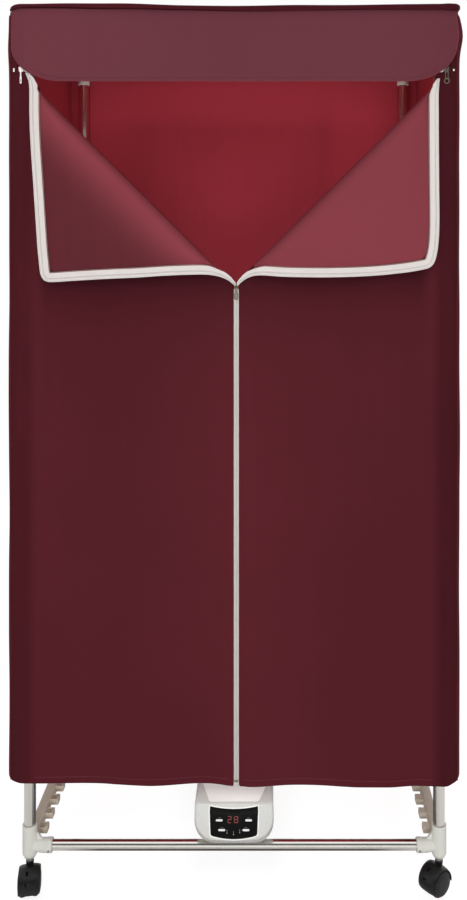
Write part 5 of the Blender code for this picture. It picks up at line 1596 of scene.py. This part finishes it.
class DRYER_OT_heater(bpy.types.Operator):
    """Makes the heater's casing: drum, sloping front arm, rear arm and the roof grille's ring"""

    bl_idname = "dryer.heater"
    bl_label = "Heater casing"

    def execute(self, context):
        sizes = context.scene.dryer_heater
        casing = plastic("casing_plastic", sizes.casing_colour, 0.3, 0.02,
                         {"Coat Weight": 0.25, "Coat Roughness": 0.15})
        lean = tan(FACE_TILT)
        chin_y = CONSOLE_Y + 0.0165
        face_top_y = CONSOLE_Y + (FACE_HIGH_Z - FACE_LOW_Z) * lean
        slope = 0.03 / (DRUM_Y - DRUM_R - face_top_y)
        rings = []
        for out, low_in, high_in, half_w, low_r, bow in (
                (0.0004, 0.0034, 0.0022, 0.0608, 0.031, 0.0004), (0.0012, 0.0014, 0.0008, 0.0632, 0.033, 0.0006),
                (0.003, 0.0000, 0.0002, 0.0648, 0.034, 0.0006)):
            rings.append(console_ring(CONSOLE_Y + out, FACE_LOW_Z + low_in, FACE_HIGH_Z - high_in, half_w, lean,
                                      low_r, 0.0045, bow))
        rings.append(console_ring(CONSOLE_Y + 0.0085, FACE_LOW_Z - 0.006, FACE_HIGH_Z + slope * 0.004, 0.0652,
                                  lean * 0.6, 0.034, 0.0045, 0.0006))
        for share in (0.0, 0.12, 0.3, 0.5, 0.75, 1.0):
            y = chin_y + (DRUM_Y - DRUM_R / 2 - chin_y) * share
            rings.append(console_ring(y, RAIL_TOP_Z, FACE_HIGH_Z + slope * (y - face_top_y), 0.0652 - 0.0006 *
                                      share, 0, 0.034, 0.0045, 0.0))
        arm = bridge_rings(rings)
        top, grille_r = ROOF_Z, 0.0704
        drum = turn_round([(0, RAIL_TOP_Z), (DRUM_R - 0.0008, RAIL_TOP_Z), (DRUM_R, RAIL_TOP_Z + 0.0008),
                           (DRUM_R, RAIL_TOP_Z + 0.01), (DRUM_R - 0.0008, RAIL_TOP_Z + 0.0112),
                           (DRUM_R - 0.0008, top - 0.0085), (DRUM_R - 0.0032, top - 0.003),
                           (DRUM_R - 0.0085, top - 0.0005), (DRUM_R - 0.012, top), (0, top)],
                          (DRUM_X, DRUM_Y, 0), (0, 0, 1), 96)
        combine(arm, drum)
        rear_end = node_high("heater_upper_shell").y
        tongue = add_block((-0.026, DRUM_Y + DRUM_R / 2, RAIL_TOP_Z), (0.026, rear_end, RAIL_TOP_Z + 0.038))
        finish_edges(tongue, sizes.edge_round, 3, 40)
        combine(arm, tongue)
        well = turn_round([(0, RAIL_TOP_Z - 0.002), (DRUM_R - 0.003, RAIL_TOP_Z - 0.002),
                           (DRUM_R - 0.003, top - 0.003), (grille_r, top - 0.003), (grille_r, top + 0.002),
                           (0, top + 0.002)], (DRUM_X, DRUM_Y, 0), (0, 0, 1), 80)
        carve(arm, well)
        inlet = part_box("power_inlet")
        mid_z = (inlet[0].z + inlet[1].z) / 2
        hole = add_block((-0.0139, inlet[1].y - 0.03, mid_z - 0.0099),
                         (0.0139, inlet[1].y + 0.004, mid_z + 0.0099))
        carve(arm, hole)
        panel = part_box("control_panel")
        pocket = panel_plate(0.0006, -0.0033, 0.006, panel)
        carve(arm, pocket)
        back_y = DRUM_Y - DRUM_R - 0.016
        right = [(0.0395, face_top_y + 0.0048), (0.043, face_top_y + 0.0075), (0.059, face_top_y + 0.056),
                 (0.059, back_y)]
        deck = [Vector((x, y, FACE_HIGH_Z + slope * (y - face_top_y))) for x, y in
                [(-x, y) for x, y in right] + right[::-1]]
        recess = push_out([p - Vector((0, 0, 0.0012)) for p in deck], (0, 0, 0.008))
        finish_edges(recess, 0.001, 2, 60)
        carve(arm, recess)
        dress(smooth(arm, 34), "heater_casing", casing, "frame", "heater_upper_shell", slot="heater_plastic")
        middle = sum(deck, Vector()) / len(deck)
        lid = push_out([middle + (p - middle) * 0.985 - Vector((0, 0, 0.0011)) for p in deck], (0, 0, 0.0006))
        finish_edges(lid, 0.0003, 2, 60)
        # Painted light: the deck's lid and the panel's lip are real parts, given a brighter white than the casing
        # to stand in for light falling on the deck and a highlight along the lip.
        white = plastic("deck_lip_painted_light", paint(250, 250, 246), 0.34, 0.01)
        dress(smooth(lid, 40), "console_deck", white, "frame", slot="heater_plastic")
        lip_line = panel_edge(0.0012, panel)
        lip = drawn_cord([face_point(x, -0.0002, z, panel) for x, z in lip_line], 0.0011, closed=True)
        dress(lip, "panel_lip", white, "frame", slot="heater_plastic")
        return {"FINISHED"}


def face_point(x, out, z, panel):
    """A place in the control panel's own leaning plane, out in front of its face."""
    rise, lean = cos(FACE_TILT), sin(FACE_TILT)
    mid_z = (panel[0].z + panel[1].z) / 2 + 0.0023
    base_y = CONSOLE_Y + (mid_z - FACE_LOW_Z) * tan(FACE_TILT)
    return Vector((x, base_y + z * lean - out * rise, mid_z + z * rise + out * lean))


def panel_edge(grow, panel):
    """The panel's outline in its plane: dipped above, bowed below and rounded at its corners."""
    top, bottom, half_h, bow, corner = 0.0402 + grow, 0.0386 + grow, 0.023 + grow, 0.0045, 0.0058
    points = []
    for i in range(19):
        share = 1 - 2 * i / 18
        points.append(Vector((share * (top - 0.001), half_h - bow * (1 - share * share))))
    for i in range(1, 6):
        share = i / 6
        points.append(Vector((-(top + (bottom - top) * share), half_h - 0.001 - (2 * half_h - 0.001 - corner) *
                              share)))
    for i in range(7):
        angle = radians(180 + 12 * i)
        points.append(Vector((corner - bottom + corner * cos(angle), corner - half_h + corner * sin(angle))))
    left = points[-1]
    for i in range(1, 18):
        share = -1 + 2 * i / 18
        points.append(Vector((-share * left.x, left.y - (half_h + bow + left.y) * (1 - share * share))))
    mirrored = [Vector((-p.x, p.y)) for p in reversed(points[19:31])]
    return points + mirrored


def panel_plate(grow, near, far, panel):
    """A plate with the panel's outline, between two distances out of its plane."""
    outline = [face_point(x, near, z, panel) for x, z in panel_edge(grow, panel)]
    step = face_point(0, far, 0, panel) - face_point(0, near, 0, panel)
    return push_out(outline, step)


class DRYER_OT_controls(bpy.types.Operator):
    """Makes the glossy control panel with its buttons, display and marks"""

    bl_idname = "dryer.controls"
    bl_label = "Controls"

    def execute(self, context):
        sizes = context.scene.dryer_heater
        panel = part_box("control_panel")
        gloss = plastic("panel_gloss", sizes.panel_colour, 0.12, 0.0, {"Specular IOR Level": 0.14})
        plate = panel_plate(0.0, -0.0028, 0.0004, panel)
        finish_edges(plate, 0.0005, 2, 40)
        places = {"upper_left": (-0.0243, 0.0015), "upper_right": (0.0243, 0.0015),
                  "lower_left": (-0.02, -0.0135), "lower_right": (0.02, -0.0135)}
        silver = plastic("button_plastic", sizes.button_colour, 0.35, 0.02)
        for label, (x, z) in places.items():
            hole = self.pill(x, z, 0.0119, 0.0037, -0.004, 0.003, panel)
            carve(plate, hole)
            key = self.pill(x, z, 0.0114, 0.0032, -0.0015, 0.001, panel)
            finish_edges(key, 0.0004, 3, 40)
            dress(smooth(key, 40), "key_" + label, silver, "button_" + label, "button_" + label,
                  slot="button_plastic")
        dress(smooth(plate, 35), "panel_plate", gloss, "frame", "control_panel", slot="panel_gloss")
        lit = glow_material("lit_digits", sizes.digit_colour, 0.1)
        bars = []
        for number, middle in (("2", -0.0072), ("8", 0.0036)):
            bars += self.digit(number, middle, 0.0025, panel)
        dress(join(bars), "display_digits", lit, "frame", slot="button_plastic")
        pale = plastic("printed_grey", paint(128, 128, 126), 0.5)
        marks = []
        for x, z in ((-0.0243, 0.0052), (0.0243, 0.0052), (-0.0195, -0.0098), (0.02, -0.0096)):
            for dx, w, h in ((-0.0016, 0.001, 0.0006), (0.0002, 0.0006, 0.001), (0.0018, 0.0011, 0.0006)):
                marks.append(self.mark(x + dx, z, w, h, panel))
        dress(join(marks), "panel_marks", pale, "frame", slot="button_plastic")
        lights = []
        for x, z in ((-0.0113, -0.0178), (-0.0006, -0.0202), (0.0098, -0.0172)):
            lights.append(add_rod(face_point(x, 0.0003, z, panel), face_point(x, 0.0007, z, panel), 0.00085, 20))
            lights.append(self.mark(x, z + 0.0034, 0.0007, 0.0024, panel))
        dress(join(lights), "panel_lights", plastic("pilot_grey", paint(150, 150, 148), 0.4), "frame",
              slot="button_plastic")
        return {"FINISHED"}

    def pill(self, x, z, width, height, near, far, panel):
        radius = height / 2
        outline = []
        for middle, start in ((x + width / 2 - radius, -90), (x - width / 2 + radius, 90)):
            for i in range(9):
                angle = radians(start + 22.5 * i)
                outline.append(face_point(middle + radius * cos(angle), near, z + radius * sin(angle), panel))
        return push_out(outline, face_point(0, far, 0, panel) - face_point(0, near, 0, panel))

    def mark(self, x, z, width, height, panel):
        outline = [face_point(x + sx * width / 2, 0.0003, z + sz * height / 2, panel)
                   for sx, sz in ((-1, -1), (1, -1), (1, 1), (-1, 1))]
        return push_out(outline, face_point(0, 0.0006, 0, panel) - face_point(0, 0.0003, 0, panel))

    def digit(self, number, x, z, panel):
        w, h, t = 0.0056, 0.0094, 0.0008
        spots = [((0, h / 2), (w - t, t)), ((w / 2, h / 4), (t, h / 2 - t)), ((w / 2, -h / 4), (t, h / 2 - t)),
                 ((0, -h / 2), (w - t, t)), ((-w / 2, -h / 4), (t, h / 2 - t)), ((-w / 2, h / 4), (t, h / 2 - t)),
                 ((0, 0), (w - t, t))]
        return [self.mark(x + spots[i][0][0], z + spots[i][0][1], spots[i][1][0], spots[i][1][1], panel)
                for i in DIGIT_BARS[number]]


def glow_material(name, colour, strength):
    """Plastic that gives off a little light of its own colour."""
    made = plastic(name, colour, 0.4)
    shader = made.node_tree.nodes["Principled BSDF"]
    shader.inputs["Emission Color"].default_value = (*colour, 1)
    shader.inputs["Emission Strength"].default_value = strength
    return made


class DRYER_OT_carried_finishes(bpy.types.Operator):
    """Gives the tubes, the heater's inner pieces and the other kept parts their finishes"""

    bl_idname = "dryer.carried_finishes"
    bl_label = "Kept parts"

    def execute(self, context):
        steel = context.scene.dryer_frame.steel_colour
        upright = steel_material("post_steel", steel, (40.0, 40.0, 1.0), 0.2)
        level = steel_material("rail_steel", steel, (1.0, 40.0, 40.0), 0.12)
        casing = context.scene.dryer_heater.casing_colour
        finishes = {
            "post_": upright,
            "base_rail_": level,
            "top_rail_": level,
            "hanging_rod_": level,
            "heater_lower_shell": plastic("pan_plastic", casing, 0.4, 0.03),
            "air_outlet_grille": plastic("grille_plastic", paint(60, 60, 62), 0.5, 0.06),
            "fan_impeller": plastic("fan_plastic", paint(70, 70, 72), 0.5, 0.06),
            "fan_motor": steel_material("motor_can", paint(150, 150, 152), (20.0, 20.0, 2.0), 0.35),
            "heating_element": steel_material("element_fins", paint(178, 172, 164), (4.0, 30.0, 4.0), 0.4),
            "circuit_board": plastic("board_green", paint(38, 104, 62), 0.45, 0.12),
            "power_inlet": plastic("inlet_black", paint(34, 34, 34), 0.45, 0.05),
        }
        for name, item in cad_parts.items():
            for start, finish in finishes.items():
                if name.startswith(start):
                    item.data.materials.clear()
                    item.data.materials.append(finish)
        return {"FINISHED"}


class DRYER_OT_stage(bpy.types.Operator):
    """Lays the pale floor, hangs the lamps and sets the camera"""

    bl_idname = "dryer.stage"
    bl_label = "Stage"

    def execute(self, context):
        sizes = context.scene.dryer_stage
        deselect()
        bpy.ops.mesh.primitive_plane_add(size=sizes.floor_size, location=(0, 0, -0.0002))
        floor = settle(context.active_object, "floor")
        pale = bpy.data.materials.new("floor_paper")
        pale.use_nodes = True
        tree = pale.node_tree
        shader = tree.nodes["Principled BSDF"]
        shader.inputs["Roughness"].default_value = 0.9
        shader.inputs["Specular IOR Level"].default_value = 0.0
        shader.inputs["Emission Color"].default_value = (1, 1, 1, 1)
        rays = tree.nodes.new("ShaderNodeLightPath")
        seen = rays.outputs["Is Camera Ray"]
        tone = tree.nodes.new("ShaderNodeMix")
        tone.data_type = "RGBA"
        tone.inputs["A"].default_value = (0.93, 0.93, 0.93, 1)
        tone.inputs["B"].default_value = (0.3, 0.3, 0.3, 1)
        tree.links.new(seen, tone.inputs["Factor"])
        spot = tree.nodes.new("ShaderNodeSeparateXYZ")
        tree.links.new(tree.nodes.new("ShaderNodeNewGeometry").outputs["Position"], spot.inputs[0])
        # Painted shadow seen in reflections: glossy rays see the floor darker under the dryer, so the tubes and
        # castors mirror a dark floor there.
        inside_x = span_node(tree, math_node(tree, "ABSOLUTE", spot.outputs[0]), 0.24, 0.31, 1, 0)
        inside_y = span_node(tree, math_node(tree, "ABSOLUTE", spot.outputs[1]), 0.26, 0.34, 1, 0)
        under = math_node(tree, "MULTIPLY", math_node(tree, "MULTIPLY", inside_x, inside_y),
                          rays.outputs["Is Glossy Ray"])
        shown = shade_colour(tree, tone.outputs["Result"], math_node(tree, "SUBTRACT", 1.0,
                                                                     math_node(tree, "MULTIPLY", under, 0.85)))
        tree.links.new(shown, shader.inputs["Base Color"])
        tree.links.new(math_node(tree, "MULTIPLY", seen, 0.86), shader.inputs["Emission Strength"])
        floor.data.materials.append(pale)

        world = bpy.data.worlds.new("studio")
        context.scene.world = world
        world.use_nodes = True
        tree = world.node_tree
        sky = tree.nodes["Background"]
        sky.inputs["Color"].default_value = (1, 1, 1, 1)
        path = tree.nodes.new("ShaderNodeLightPath")
        mirrored = math_node(tree, "MAXIMUM", path.outputs["Is Glossy Ray"], path.outputs["Is Transmission Ray"])
        toward = tree.nodes.new("ShaderNodeSeparateXYZ")
        tree.links.new(tree.nodes.new("ShaderNodeTexCoord").outputs["Generated"], toward.inputs[0])
        # Painted reflection: glossy rays see a dark band above the horizon in front of the dryer, where nothing
        # stands, and the bright tubes mirror it as dark lines.
        above = span_node(tree, toward.outputs["Z"], 0.04, 0.12, 0, 1)
        below = span_node(tree, toward.outputs["Z"], 0.62, 0.72, 1, 0)
        ahead = span_node(tree, toward.outputs["Y"], -0.35, -0.55, 0, 1)
        screen = math_node(tree, "MULTIPLY", math_node(tree, "MULTIPLY", above, below), ahead)
        shown = math_node(tree, "SUBTRACT", 1.0, math_node(tree, "MULTIPLY", screen, 0.92))
        lit = math_node(tree, "MULTIPLY", mirrored, shown)
        strength = math_node(tree, "MAXIMUM", path.outputs["Is Camera Ray"], lit)
        dim = math_node(tree, "SUBTRACT", 1.0, math_node(tree, "MAXIMUM", path.outputs["Is Camera Ray"],
                                                         mirrored))
        total = math_node(tree, "ADD", strength, math_node(tree, "MULTIPLY", dim, sizes.sky_strength))
        tree.links.new(total, sky.inputs["Strength"])

        for name, place, aim, size, share in (
                ("key_lamp", (-0.5, -3.0, 3.0), (0, 0, 0.8), 1.6, 0.85),
                ("front_lamp", (0.2, -3.3, 0.8), (0, 0, 1.0), 1.0, 1.12),
                ("back_lamp", (0.8, 3.0, 2.4), (0, 0, 0.8), 2.0, 0.9),
                ("inner_lamp_left", (-0.2, -0.08, 0.98), (-0.25, 0.24, 1.32), 0.16, 0.016),
                ("inner_lamp_right", (0.2, -0.08, 0.98), (0.27, 0.24, 1.32), 0.16, 0.024),
                ("deck_lamp", (0, -0.08, 0.62), (0, -0.13, 0.16), 0.14, 0.018)):
            lamp = bpy.data.lights.new(name, "AREA")
            lamp.energy = sizes.lamp_power * share
            lamp.size = size
            hung = bpy.data.objects.new(name, lamp)
            hung.location = place
            hung.rotation_euler = (Vector(aim) - Vector(place)).to_track_quat("-Z", "Y").to_euler()
            hung.visible_camera = False
            hung.visible_glossy = name == "back_lamp"
            context.collection.objects.link(hung)

        view = bpy.data.cameras.new("photo_camera")
        view.lens = 36
        view.sensor_width = 36
        view.shift_x = -(LOOK_AT[0] - PHOTO_SIZE[0] / 2) / PHOTO_SIZE[1]
        view.shift_y = -(PHOTO_SIZE[1] / 2 - LOOK_AT[1]) / PHOTO_SIZE[1]
        camera = bpy.data.objects.new("photo_camera", view)
        camera.location = (0.068, FRONT_POST_Y - sizes.camera_distance, sizes.camera_height)
        camera.rotation_euler = (pi / 2, 0, 0)
        context.collection.objects.link(camera)
        context.scene.camera = camera
        context.scene.view_settings.view_transform = "Standard"
        return {"FINISHED"}


class DRYER_PT_panel(bpy.types.Panel):
    """Lists the steps that dress the dryer"""

    bl_idname = "DRYER_PT_panel"
    bl_label = "Clothes dryer"
    bl_space_type = "VIEW_3D"
    bl_region_type = "UI"
    bl_category = "Dryer"

    def draw(self, context):
        for group in ("dryer_cloth", "dryer_frame", "dryer_heater", "dryer_stage"):
            box = self.layout.box()
            settings = getattr(context.scene, group)
            for name in settings.__annotations__:
                box.prop(settings, name)
        for operator in OPERATORS:
            self.layout.operator(operator.bl_idname)


SETTINGS = {"dryer_cloth": DryerClothSettings, "dryer_frame": DryerFrameSettings,
            "dryer_heater": DryerHeaterSettings, "dryer_stage": DryerStageSettings}
OPERATORS = (DRYER_OT_stage, DRYER_OT_cover_cap, DRYER_OT_valance, DRYER_OT_cover_sides, DRYER_OT_cover_back,
             DRYER_OT_doors, DRYER_OT_turned_corners, DRYER_OT_zips, DRYER_OT_castors, DRYER_OT_connectors,
             DRYER_OT_toothed_rails, DRYER_OT_heater, DRYER_OT_controls, DRYER_OT_carried_finishes)


def register():
    for name, settings in SETTINGS.items():
        bpy.utils.register_class(settings)
        setattr(bpy.types.Scene, name, bpy.props.PointerProperty(type=settings))
    for operator in OPERATORS:
        bpy.utils.register_class(operator)
    bpy.utils.register_class(DRYER_PT_panel)


def unregister():
    bpy.utils.unregister_class(DRYER_PT_panel)
    for operator in reversed(OPERATORS):
        bpy.utils.unregister_class(operator)
    for name, settings in SETTINGS.items():
        delattr(bpy.types.Scene, name)
        bpy.utils.unregister_class(settings)


def main():
    register()
    bpy.ops.dryer.stage()
    bpy.ops.dryer.cover_cap()
    bpy.ops.dryer.valance()
    bpy.ops.dryer.cover_sides()
    bpy.ops.dryer.cover_back()
    bpy.ops.dryer.doors()
    bpy.ops.dryer.turned_corners()
    bpy.ops.dryer.zips()
    bpy.ops.dryer.castors()
    bpy.ops.dryer.connectors()
    bpy.ops.dryer.toothed_rails()
    bpy.ops.dryer.heater()
    bpy.ops.dryer.controls()
    bpy.ops.dryer.carried_finishes()


if __name__ == "__main__":
    main()
